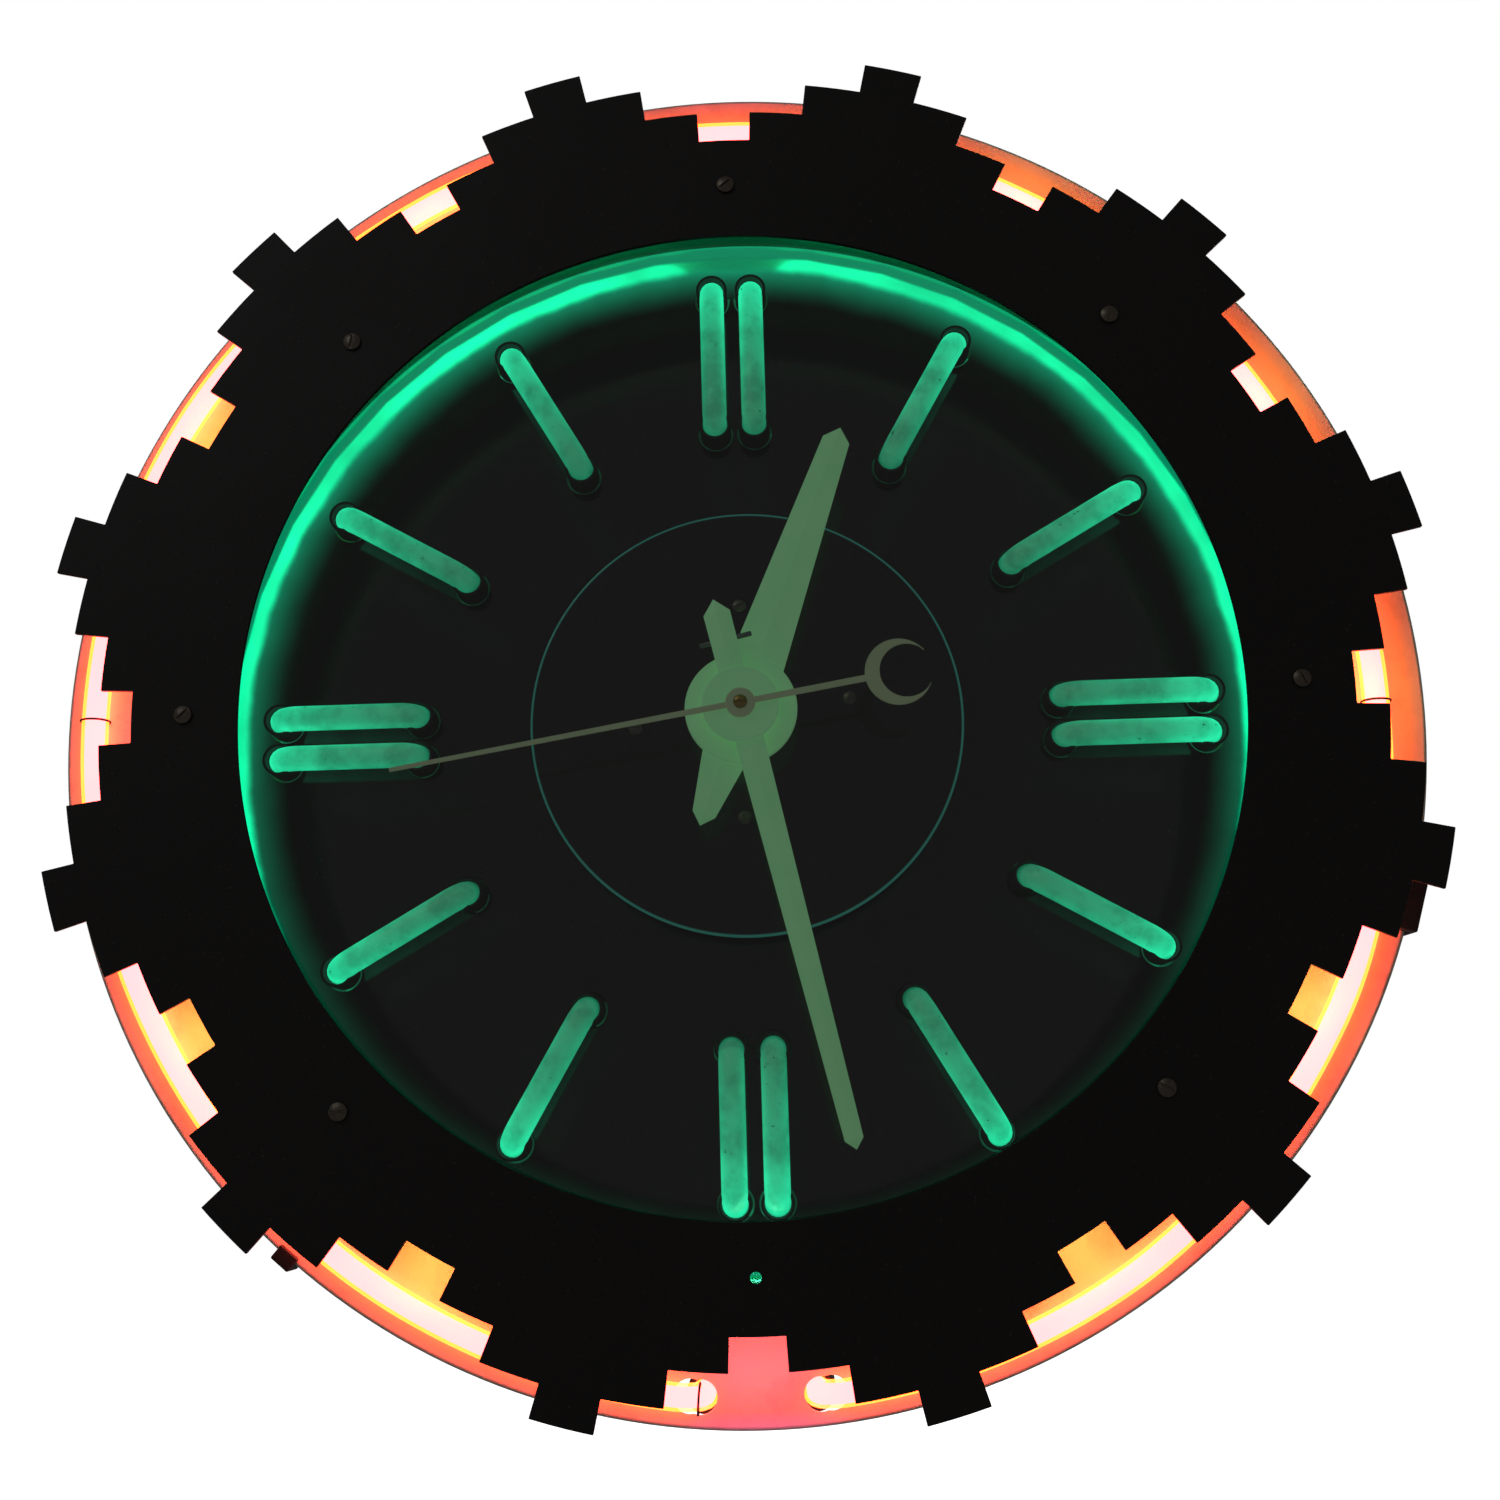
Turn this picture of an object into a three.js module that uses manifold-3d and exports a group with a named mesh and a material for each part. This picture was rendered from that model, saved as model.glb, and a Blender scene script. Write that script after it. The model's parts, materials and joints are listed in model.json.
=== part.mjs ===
// Service station advertising clock: a wall clock with a stepped, tyre-tread shaped fascia, a red
// neon ring behind the teeth, a green neon ring behind the dial's edge and bent-tube hour markers.
//
// The clock is laid out face up: local +Z points out of the dial towards the viewer, +Y points at
// twelve o'clock and +X at three o'clock, in millimetres, with the fascia's front face at Z = 0.
// The group at the end stands it up against its wall: the back cover's outer face lands on Y = 0,
// the dial looks along -Y, and twelve o'clock points along +Z.
import * as THREE from 'three';
import { mergeVertices } from 'three/addons/utils/BufferGeometryUtils.js';
import { ConvexGeometry } from 'three/addons/geometries/ConvexGeometry.js';
import Module from 'manifold-3d';

const wasm = await Module();
wasm.setup();

// ---- Driving dimensions ----------------------------------------------------------------------
const GAP = 0.3; // air left between touching pieces

// Fascia: twelve tread blocks, each a notch, a base step, a shoulder step and a tooth.
const STEP_RADII = [301, 317, 334, 350, 334, 317]; // by 5 degree sector, starting at each hour
const SECTOR = 5; // degrees covered by one step
const FASCIA_T = 2.5;
const OPENING_R = 248.2;
const OPENING_DROP = 1.8; // the opening is cut a little below the teeth's centre
const SCREW_CIRCLE_R = 275;
const SCREW_SPACING = 45; // degrees
const MISSING_SCREW = 180; // the six o'clock screw is gone and light shows through its hole
const SCREW_HOLE_R = 2.8;

// Front glass and what holds it
const GLASS_R = 258;
const GLASS_T = 4;
const GASKET_T = 1.5;
const GASKET_IN_R = 250;

// Case
const DRUM_R = 283;
const SHEET_T = 1.5;
const FRONT_FLANGE_R = 266;
const REAR_FLANGE_R = 270;
const CASE_DEPTH = 164; // fascia front to wall
const PAN_R = 348;
const PAN_Z = -39; // front face of the reflector pan
const PAN_SHEET = 1.2;
const PAN_SKIRT = 13;

// Dial
const DIAL_Z = -79;
const DIAL_T = 3;
const DIAL_R = 280.5;
const DISC_R = 112.8;
const DISC_SHIFT = 2.2; // the disc hangs a little to the right of the arbor
const DISC_Z = -54;
const DISC_T = 2.5;
const DISC_SCREW_R = 56.4;
const DISC_SCREW_RISE = 5.2; // the screw circle sits a little above the arbor
const DISC_SCREW_ANGLES = [0, 85, 180, 262];

// Neon tubing
const TUBE_R = 6.6;
const TUBE_SIDES = 6;
const MARKER_BEND_R = 10;
const MARKER_HOLE_R = 10;
// The rings' radii are given at equal steps clockwise from twelve: the red one is not quite round.
const RED_RING = {
  radii: [322.7, 319, 318.5, 320.6, 328.4, 333, 333, 331.5, 330, 331, 333, 329],
  z: -32,
  gapAngle: 180,
  halfGap: 4.6,
  bendR: 16,
  legZ: -68,
};
const GREEN_RING = { radii: [272], z: -91, gapAngle: 0, halfGap: 6.5, bendR: 10, legZ: -125 };
const MARKER_ENDS = [168, 245]; // inner and outer end of a marker, unless its hour says otherwise
const MARKER_ENDS_AT = { 5: [168, 246.5], 9: [172, 245], 12: [168, 247] };
const MARKER_Z = -62.6;
const PAIR_HALF = 10.7;
const LINK_Z = -92; // level of the blacked-out links behind the dial
const MARKER_END_Z = -98;

// Hands: [distance from the arbor, half width], at rest angles clockwise from twelve
const HOUR = {
  angle: 20.6,
  blade: [[20, 14.2], [152, 7.2]],
  tip: 159,
  tail: [[20, 12.6], [57, 6]],
  tailTip: 63,
  hubR: 28.5,
  z: -28.4,
};
const MINUTE = {
  angle: 167.3,
  blade: [[12, 7.4], [219.4, 4.6]],
  tip: 224.4,
  tail: [[12, 6.6], [49, 6.9]],
  tailTip: 56.5,
  hubR: 19.3,
  z: -18.6,
};
const SECOND = { angle: 260.7, tip: 177.4, rodHalf: 1.7, tipHalf: 1.1, bossR: 7.5, z: -13.4 };
const CRESCENT = { at: 80.5, r: 17, cutAt: 84.6, cutR: 13.6 };
const HAND_EDGE = 0.8; // hand sheet at its edges
const HAND_RIDGE = 2.4; // and at the folded centre ridge

// Movement: nested arbors and the motion work that gears twelve to one
const SECONDS_R = 1.6;
const MINUTE_PIPE = { in: 2.2, out: 4.5 };
const HOUR_PIPE = { in: 5, out: 7 };
const BUSH = { in: 7.5, out: 10.5 };
const GEAR_MODULE = 1.2;
const WHEEL_DISTANCE = 24.3; // arbor to minute wheel, with running clearance
const CANNON_TEETH = 10;
const MINUTE_WHEEL_TEETH = 30;
const MINUTE_PINION_TEETH = 8;
const HOUR_WHEEL_TEETH = 32;

// ---- Materials -------------------------------------------------------------------------------
const paint = (color, roughness, metalness = 0) =>
  new THREE.MeshStandardMaterial({ color, roughness, metalness });
const matt_black = paint(0x12100f, 0.6);
const white_enamel = paint(0xf2eee8, 0.35);
const black_glass = paint(0x0b0d0e, 0.08);
const clear_glass = paint(0xdfe9ea, 0.02);
const rubber = paint(0x181616, 0.8);
const red_neon = paint(0xff6a4a, 0.2);
const green_neon = paint(0x1fe29a, 0.2);
const marker_glass = paint(0x4fc48c, 0.3);
const mint_paint = paint(0xa9cfae, 0.5);
const brass = paint(0xb08d4c, 0.35, 1);
const steel = paint(0x9a9a98, 0.35, 1);
const zinc = paint(0x8c8f90, 0.5, 1);
const galvanised = paint(0xa3a6a6, 0.5, 1);
const black_enamel = paint(0x1a1a1c, 0.4);
const moulding = paint(0x15120f, 0.45);

// ---- Solids ----------------------------------------------------------------------------------
const radians = THREE.MathUtils.degToRad;

/** A point on the dial, at a clock angle in degrees clockwise from twelve. */
function clockPoint(r, angle) {
  return new THREE.Vector2(r * Math.sin(radians(angle)), r * Math.cos(radians(angle)));
}

/** Merges shared vertices, drops empty triangles and turns the faces outwards. */
function tidy(geometry) {
  const bare = geometry.clone();
  bare.deleteAttribute('normal');
  bare.deleteAttribute('uv');
  const merged = mergeVertices(bare, 1e-4);
  const position = merged.getAttribute('position');
  const index = merged.getIndex().array;
  const [a, b, c] = [new THREE.Vector3(), new THREE.Vector3(), new THREE.Vector3()];
  const kept = [];
  let volume = 0;
  for (let i = 0; i < index.length; i += 3) {
    const corners = [index[i], index[i + 1], index[i + 2]];
    if (new Set(corners).size < 3) continue;
    a.fromBufferAttribute(position, corners[0]);
    b.fromBufferAttribute(position, corners[1]);
    c.fromBufferAttribute(position, corners[2]);
    volume += a.dot(b.cross(c));
    kept.push(...corners);
  }
  if (volume < 0) kept.reverse();
  merged.setIndex(kept);
  return merged;
}

function toSolid(geometry) {
  const closed = tidy(geometry);
  return new wasm.Manifold(new wasm.Mesh({
    numProp: 3,
    vertProperties: Float32Array.from(closed.getAttribute('position').array),
    triVerts: Uint32Array.from(closed.getIndex().array),
  }));
}

function toGeometry(solid) {
  const { vertProperties, triVerts } = solid.getMesh();
  const geometry = new THREE.BufferGeometry();
  geometry.setAttribute('position', new THREE.BufferAttribute(Float32Array.from(vertProperties), 3));
  geometry.setIndex(new THREE.BufferAttribute(Uint32Array.from(triVerts), 1));
  return geometry;
}

function join(...geometries) {
  return toGeometry(geometries.map(toSolid).reduce((sum, solid) => sum.add(solid)));
}

function cut(body, ...tools) {
  return toGeometry(tools.map(toSolid).reduce((rest, tool) => rest.subtract(tool), toSolid(body)));
}

/** A ring turned about the dial axis from a closed profile of [radius, z] points. */
function turned(profile, segments) {
  const points = [...profile, profile[0]].map(([r, z]) => new THREE.Vector2(r, z));
  return new THREE.LatheGeometry(points, segments).rotateX(Math.PI / 2);
}

/** A round rod about the dial axis, between two depths. */
function rod(r, zFront, zBack, sides = 16) {
  return new THREE.CylinderGeometry(r, r, zFront - zBack, sides)
    .rotateX(Math.PI / 2)
    .translate(0, 0, (zFront + zBack) / 2);
}

function pipe(inner, outer, zFront, zBack, sides = 16) {
  return turned([[inner, zFront], [outer, zFront], [outer, zBack], [inner, zBack]], sides);
}

function box(x0, x1, y0, y1, z0, z1) {
  return new THREE.BoxGeometry(x1 - x0, y1 - y0, z1 - z0)
    .translate((x0 + x1) / 2, (y0 + y1) / 2, (z0 + z1) / 2);
}

function circle(centre, r, sides) {
  const points = [];
  for (let i = 0; i < sides; i += 1) {
    points.push(clockPoint(r, (360 * (i + 0.5)) / sides).add(centre));
  }
  return points;
}

/** A flat sheet cut from an outline with holes, between two depths. */
function sheet(outline, holes, zFront, zBack) {
  const clockwise = THREE.ShapeUtils.isClockWise(outline);
  const shape = new THREE.Shape(clockwise ? [...outline].reverse() : outline);
  shape.holes = holes.map((points) => new THREE.Path(points));
  return new THREE.ExtrudeGeometry(shape, { depth: zFront - zBack, bevelEnabled: false })
    .translate(0, 0, zBack);
}

/** A path that visits stations in turn, so that only its bends spend sections. */
class StationPath extends THREE.Curve {
  constructor(stations) {
    super();
    this.stations = stations;
  }

  getPoint(t) {
    return this.stations[Math.round(t * (this.stations.length - 1))].clone();
  }

  getPointAt(u) {
    return this.getPoint(u);
  }

  getTangentAt(u) {
    const last = this.stations.length - 1;
    const i = Math.round(u * last);
    const here = this.stations[i];
    const ahead = this.stations[Math.min(i + 1, last)].clone().sub(here).normalize();
    const behind = here.clone().sub(this.stations[Math.max(i - 1, 0)]).normalize();
    return ahead.add(behind).normalize();
  }
}

/** Rounds each inner corner of a path with an arc of the given radius. */
function roundedStations(corners, bendR, perBend) {
  const stations = [corners[0]];
  for (let i = 1; i < corners.length - 1; i += 1) {
    const back = corners[i - 1].clone().sub(corners[i]).normalize();
    const on = corners[i + 1].clone().sub(corners[i]).normalize();
    const half = back.angleTo(on) / 2;
    const middle = back.clone().add(on).normalize();
    const centre = corners[i].clone().addScaledVector(middle, bendR / Math.sin(half));
    const start = corners[i].clone().addScaledVector(back, bendR / Math.tan(half)).sub(centre);
    const end = corners[i].clone().addScaledVector(on, bendR / Math.tan(half)).sub(centre);
    const axis = start.clone().cross(end).normalize();
    for (let k = 0; k <= perBend; k += 1) {
      const turn = (start.angleTo(end) * k) / perBend;
      stations.push(start.clone().applyAxisAngle(axis, turn).add(centre));
    }
  }
  stations.push(corners[corners.length - 1]);
  return stations;
}

function tube(stations, r = TUBE_R, sides = TUBE_SIDES) {
  const section = new THREE.Shape(circle(new THREE.Vector2(), r, sides));
  const steps = stations.length - 1;
  const extrudePath = new StationPath(stations);
  return new THREE.ExtrudeGeometry(section, { steps, extrudePath, bevelEnabled: false });
}

/** The radius of a ring at a clock angle, eased between the radii it is given. */
function ringRadius({ radii }, angle) {
  const place = (THREE.MathUtils.euclideanModulo(angle, 360) / 360) * radii.length;
  const before = Math.floor(place) % radii.length;
  const ease = (1 - Math.cos(Math.PI * (place % 1))) / 2;
  return THREE.MathUtils.lerp(radii[before], radii[(before + 1) % radii.length], ease);
}

/** A ring of tube, open at one clock angle, where both ends turn back behind it. */
function ringTube(ring, arcSteps) {
  const { z, gapAngle, halfGap, bendR, legZ } = ring;
  const at = (angle, depth) => {
    const p = clockPoint(ringRadius(ring, angle), angle);
    return new THREE.Vector3(p.x, p.y, depth);
  };
  const bendAngle = THREE.MathUtils.radToDeg(bendR / ringRadius(ring, gapAngle));
  const first = gapAngle + halfGap;
  const last = gapAngle + 360 - halfGap;
  const stations = [at(first, legZ)];
  for (const turn of [0, 30, 60]) {
    const lead = bendAngle * (1 - Math.cos(radians(turn)));
    stations.push(at(first + lead, z - bendR * (1 - Math.sin(radians(turn)))));
  }
  for (let i = 0; i <= arcSteps; i += 1) {
    const span = last - first - 2 * bendAngle;
    stations.push(at(first + bendAngle + (span * i) / arcSteps, z));
  }
  for (const turn of [60, 30, 0]) {
    const lead = bendAngle * (1 - Math.cos(radians(turn)));
    stations.push(at(last - lead, z - bendR * (1 - Math.sin(radians(turn)))));
  }
  stations.push(at(last, legZ));
  return tube(stations);
}

// Slotted screw heads: radius at the top and at the seat, height, then the shank.
const PAN_HEAD = { topR: 3.6, seatR: 4.5, headH: 2.2, shankR: 2.2, shankL: 10 };
const SMALL_PAN_HEAD = { topR: 2.9, seatR: 3.6, headH: 1.8, shankR: 2, shankL: 9 };
const COUNTERSUNK = { topR: 4.1, seatR: 2.3, headH: 1.3, shankR: 2.2, shankL: 7 };

/** A slotted screw, its head seated at z = 0 and its shank pointing back. */
function slottedScrew({ topR, seatR, headH, shankR, shankL }, slotAngle) {
  const head = new THREE.CylinderGeometry(topR, seatR, headH, 8)
    .rotateX(Math.PI / 2)
    .translate(0, 0, headH / 2);
  const shank = rod(shankR, 0.5, -shankL, 6);
  const slot = box(-6, 6, -0.6, 0.6, headH * 0.5, headH * 2);
  return cut(join(head, shank), slot.rotateZ(radians(slotAngle)));
}

/** One blade of a hand: sharp edges, a folded ridge and a short pointed end. */
function blade([root, shoulder], tip, sign, zBack) {
  const zEdge = zBack + HAND_EDGE;
  const zRidge = zBack + HAND_RIDGE;
  const points = [];
  for (const [along, half] of [root, shoulder]) {
    for (const side of [-half, half]) {
      points.push(new THREE.Vector3(side, sign * along, zBack));
      points.push(new THREE.Vector3(side, sign * along, zEdge));
    }
    points.push(new THREE.Vector3(0, sign * along, zRidge));
  }
  points.push(new THREE.Vector3(0, sign * tip, zBack));
  points.push(new THREE.Vector3(0, sign * tip, zEdge));
  return new ConvexGeometry(points);
}

/** A hand pointing at twelve: blade, tail, hub disc and a bore for its pipe. */
function hand(spec, hubFront, boreR) {
  const whole = join(
    blade(spec.blade, spec.tip, 1, spec.z),
    blade(spec.tail, spec.tailTip, -1, spec.z),
    rod(spec.hubR, hubFront, spec.z, 36),
  );
  return cut(whole, rod(boreR, hubFront + 5, spec.z - 5)).rotateZ(-radians(spec.angle));
}

/** A spur gear about its own axis, with one tooth centred on the given angle from +X. */
function gear(teeth, firstTooth, zFront, zBack) {
  const rootR = GEAR_MODULE * (teeth / 2 - 1.2);
  const tipR = GEAR_MODULE * (teeth / 2 + 0.75);
  const pitch = 360 / teeth;
  const outline = [];
  for (let i = 0; i < teeth; i += 1) {
    for (const [r, share] of [[rootR, -0.3], [tipR, -0.1], [tipR, 0.1], [rootR, 0.3]]) {
      const angle = radians(firstTooth + pitch * (i + share));
      outline.push(new THREE.Vector2(r * Math.cos(angle), r * Math.sin(angle)));
    }
  }
  return sheet(outline, [], zFront, zBack);
}

const clock = new THREE.Group();

function add(name, geometry, material, parent = clock) {
  const mesh = new THREE.Mesh(tidy(geometry), material);
  mesh.name = name;
  parent.add(mesh);
  return mesh;
}

function place(mesh, point, z) {
  mesh.position.set(point.x, point.y, z);
}

// ---- Fascia, front glass and screws ----------------------------------------------------------
const fasciaScrewAngles = [];
for (let angle = 0; angle < 360; angle += SCREW_SPACING) fasciaScrewAngles.push(angle);

function fasciaPlate() {
  const outline = [];
  for (let sector = 0; sector < 360 / SECTOR; sector += 1) {
    const r = STEP_RADII[sector % STEP_RADII.length];
    outline.push(clockPoint(r, SECTOR * (sector - 0.5)));
    outline.push(clockPoint(r, SECTOR * (sector + 0.5)));
  }
  const holes = [circle(new THREE.Vector2(0, -OPENING_DROP), OPENING_R, 72)];
  for (const angle of fasciaScrewAngles) {
    holes.push(circle(clockPoint(SCREW_CIRCLE_R, angle), SCREW_HOLE_R, 8));
  }
  return sheet(outline, holes, 0, -FASCIA_T);
}

const gasketFront = -FASCIA_T - GAP;
const glassFront = gasketFront - GASKET_T - GAP;
const glassBack = glassFront - GLASS_T;
const retainerFront = glassBack - GAP;
add('fascia_plate', fasciaPlate(), matt_black);
add('glass_gasket', pipe(GASKET_IN_R, GLASS_R, gasketFront, gasketFront - GASKET_T, 48), rubber);
add('front_glass', rod(GLASS_R, glassFront, glassBack, 48), clear_glass);
add('glass_retaining_ring', turned([
  [GLASS_R + 1.5, gasketFront],
  [GLASS_R + 3, gasketFront],
  [GLASS_R + 3, retainerFront - SHEET_T],
  [GLASS_R - 4.5, retainerFront - SHEET_T],
  [GLASS_R - 4.5, retainerFront],
  [GLASS_R + 1.5, retainerFront],
], 40), matt_black);

let screwNumber = 0;
for (const angle of fasciaScrewAngles) {
  if (angle === MISSING_SCREW) continue;
  screwNumber += 1;
  const screw = slottedScrew(PAN_HEAD, 37 * screwNumber);
  const mesh = add(`fascia_screw_${screwNumber}`, screw, steel);
  place(mesh, clockPoint(SCREW_CIRCLE_R, angle), GAP);
}

// ---- Case ------------------------------------------------------------------------------------
const flangeFront = -FASCIA_T - GAP;
const coverBack = -CASE_DEPTH;
const coverFront = coverBack + SHEET_T;
const drumBack = coverFront + GAP;
const GLAND_Z = -120;
const GLAND_SHANK_R = 6.5;

function caseDrum() {
  const shell = turned([
    [DRUM_R, flangeFront],
    [DRUM_R, drumBack],
    [REAR_FLANGE_R, drumBack],
    [REAR_FLANGE_R, drumBack + SHEET_T],
    [DRUM_R - SHEET_T, drumBack + SHEET_T],
    [DRUM_R - SHEET_T, flangeFront - SHEET_T],
    [FRONT_FLANGE_R, flangeFront - SHEET_T],
    [FRONT_FLANGE_R, flangeFront],
  ], 60);
  const hole = (r, angle, z) => {
    const centre = clockPoint(r, angle);
    return rod(SCREW_HOLE_R, z + 5, z - 5, 8).translate(centre.x, centre.y, 0);
  };
  const holes = fasciaScrewAngles.map((angle) => hole(SCREW_CIRCLE_R, angle, flangeFront));
  holes.push(...coverScrewAngles.map((angle) => hole(COVER_SCREW_R, angle, drumBack)));
  const glandHole = new THREE.CylinderGeometry(GLAND_SHANK_R + 0.5, GLAND_SHANK_R + 0.5, 20, 12)
    .translate(0, -DRUM_R, GLAND_Z);
  return cut(shell, ...holes, glandHole);
}

/** The tube leans as it passes the pan, so each of its holes is drawn out along the ring. */
function reflectorPan() {
  const inner = DRUM_R + 0.4;
  const floor = PAN_Z - PAN_SHEET;
  const dish = turned([
    [inner, PAN_Z],
    [PAN_R, PAN_Z],
    [PAN_R, PAN_Z - PAN_SKIRT],
    [PAN_R - PAN_SHEET, PAN_Z - PAN_SKIRT],
    [PAN_R - PAN_SHEET, floor],
    [inner + PAN_SHEET, floor],
    [inner + PAN_SHEET, PAN_Z - PAN_SKIRT],
    [inner, PAN_Z - PAN_SKIRT],
  ], 60);
  const legHoles = [-1, 1].flatMap((side) => [2, 7].map((along) => {
    const r = ringRadius(RED_RING, RED_RING.gapAngle);
    const reach = RED_RING.halfGap + THREE.MathUtils.radToDeg(along / r);
    const centre = clockPoint(r, RED_RING.gapAngle + side * reach);
    return rod(8.1, PAN_Z + 5, PAN_Z - 5, 12).translate(centre.x, centre.y, 0);
  }));
  return cut(dish, ...legHoles);
}

/** The back cover, with two keyholes to hang it by and a hole to reach the setting knob. */
const KEYHOLE_X = 95;
const KEYHOLE_Y = 205;
const KNOB_HOLE_R = 16;
const COVER_SCREW_R = 276;
const coverScrewAngles = [45, 135, 225, 315];

function keyhole(x) {
  const headR = 5.5;
  const slotTop = 14;
  const slotHalf = headR * Math.sin(radians(30));
  const centre = new THREE.Vector2(x, KEYHOLE_Y);
  const points = [];
  for (let angle = 30; angle <= 330; angle += 30) points.push(clockPoint(headR, angle).add(centre));
  points.push(new THREE.Vector2(x - slotHalf, KEYHOLE_Y + slotTop));
  points.push(new THREE.Vector2(x + slotHalf, KEYHOLE_Y + slotTop));
  return points;
}

const knobCentre = new THREE.Vector2(0, -WHEEL_DISTANCE);

function backCover() {
  const holes = [keyhole(-KEYHOLE_X), keyhole(KEYHOLE_X), circle(knobCentre, KNOB_HOLE_R, 20)];
  const disc = sheet(circle(new THREE.Vector2(), DRUM_R, 60), holes, coverFront, coverBack);
  const countersinks = coverScrewAngles.map((angle) => {
    const centre = clockPoint(COVER_SCREW_R, angle);
    return new THREE.CylinderGeometry(SCREW_HOLE_R, SCREW_HOLE_R + 1.8, SHEET_T, 8)
      .scale(1, 1.1, 1)
      .rotateX(Math.PI / 2)
      .translate(centre.x, centre.y, (coverFront + coverBack) / 2);
  });
  return cut(disc, ...countersinks);
}

add('case_drum', caseDrum(), white_enamel);
add('reflector_pan', reflectorPan(), white_enamel);
add('back_cover', backCover(), galvanised);

/** The gland's flange bears on the drum's outside and its shank passes through the wall. */
function cableGland() {
  const points = [[0, 22], [5, 22], [8, 14], [8, 9], [11, 9], [11, 0.5], [GLAND_SHANK_R, 0.5],
    [GLAND_SHANK_R, -12], [0, -12]].map(([r, y]) => new THREE.Vector2(r, y));
  const body = new THREE.LatheGeometry(points, 12);
  return cut(body, new THREE.CylinderGeometry(3.6, 3.6, 60, 8)).rotateX(Math.PI);
}
add('cable_gland', cableGland(), black_enamel).position.set(0, -DRUM_R, GLAND_Z);

// ---- Rim clips -------------------------------------------------------------------------------
/** An L-shaped clip that hooks over the pan's rim; built at twelve and turned into place. */
function rimClip(width, reach, front, outR) {
  const profile = [
    [PAN_R - reach, front],
    [outR, front],
    [outR, PAN_Z - PAN_SKIRT - 1],
    [PAN_R + GAP, PAN_Z - PAN_SKIRT - 1],
    [PAN_R + GAP, PAN_Z + GAP],
    [PAN_R - reach, PAN_Z + GAP],
  ].map(([r, z]) => new THREE.Vector2(r, z));
  return new THREE.ExtrudeGeometry(new THREE.Shape(profile), { depth: width, bevelEnabled: false })
    .translate(0, 0, -width / 2)
    .rotateX(Math.PI / 2)
    .rotateZ(Math.PI / 2);
}
add('rim_clip_left', rimClip(11, 4, PAN_Z + 4, PAN_R + 4), moulding).rotation.z = -radians(221);
add('rim_bracket_right', rimClip(30, 7, PAN_Z + 8, PAN_R + 3), moulding).rotation.z = -radians(108);

// ---- Dial and centre disc --------------------------------------------------------------------
const discScrewPoints = DISC_SCREW_ANGLES.map((angle) =>
  clockPoint(DISC_SCREW_R, angle).add(new THREE.Vector2(0, DISC_SCREW_RISE)));

/** The four markers of one quarter: clock angle, sideways offset, inner and outer end. */
function quarterMarkers(quarter) {
  return [[0, -PAIR_HALF], [0, PAIR_HALF], [30, 0], [60, 0]].map(([step, offset]) => {
    const angle = 90 * quarter + step;
    const [inner, outer] = MARKER_ENDS_AT[angle / 30 || 12] ?? MARKER_ENDS;
    return { angle, offset, inner, outer };
  });
}

function markerPoint(r, { angle, offset }) {
  return new THREE.Vector2(offset, r).rotateAround(new THREE.Vector2(), -radians(angle));
}

function dialPlate() {
  const holes = [circle(new THREE.Vector2(), BUSH.out + 0.5, 12)];
  for (const marker of [0, 1, 2, 3].flatMap(quarterMarkers)) {
    for (const r of [marker.inner, marker.outer]) {
      holes.push(circle(markerPoint(r, marker), MARKER_HOLE_R, 8));
    }
  }
  return sheet(circle(new THREE.Vector2(), DIAL_R, 60), holes, DIAL_Z, DIAL_Z - DIAL_T);
}

function centreDisc() {
  const holes = [circle(new THREE.Vector2(), BUSH.out + 0.5, 12)];
  for (const point of discScrewPoints) holes.push(circle(point, SCREW_HOLE_R, 8));
  return sheet(circle(new THREE.Vector2(DISC_SHIFT, 0), DISC_R, 60), holes, DISC_Z, DISC_Z - DISC_T);
}

const dialBack = DIAL_Z - DIAL_T;
add('dial_plate', dialPlate(), black_glass);
add('dial_support_ring', turned([
  [DIAL_R, dialBack - GAP],
  [DIAL_R, dialBack - GAP - SHEET_T],
  [DIAL_R - 5, dialBack - GAP - SHEET_T],
  [DIAL_R - 5, dialBack - GAP],
], 40), galvanised);
add('centre_disc', centreDisc(), black_glass);
discScrewPoints.forEach((point, i) => {
  const pillar = pipe(SCREW_HOLE_R, 4.5, DISC_Z - DISC_T - GAP, DIAL_Z + GAP, 8);
  place(add(`disc_pillar_${i + 1}`, pillar, steel), point, 0);
  const screw = add(`disc_screw_${i + 1}`, slottedScrew(SMALL_PAN_HEAD, 50 * i + 20), steel);
  place(screw, point, DISC_Z + GAP);
});

// ---- Neon tubing -----------------------------------------------------------------------------
add('red_ring_tube', ringTube(RED_RING, 54), red_neon);
add('green_ring_tube', ringTube(GREEN_RING, 48), green_neon);

/** Four markers blown from one length of tube, linked behind the dial. */
function markerUnit(quarter) {
  const corners = [];
  const put = (r, marker, z) => {
    const p = markerPoint(r, marker);
    corners.push(new THREE.Vector3(p.x, p.y, z));
  };
  quarterMarkers(quarter).forEach((marker, i, markers) => {
    const ends = [marker.inner, marker.outer];
    const [from, to] = i % 2 === 0 ? ends : ends.reverse();
    put(from, marker, i === 0 ? MARKER_END_Z : LINK_Z);
    put(from, marker, MARKER_Z);
    put(to, marker, MARKER_Z);
    put(to, marker, i === markers.length - 1 ? MARKER_END_Z : LINK_Z);
  });
  return tube(roundedStations(corners, MARKER_BEND_R, 3));
}
['12_to_2', '3_to_5', '6_to_8', '9_to_11'].forEach((hours, quarter) => {
  add(`marker_tubes_${hours}`, markerUnit(quarter), marker_glass);
});

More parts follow.
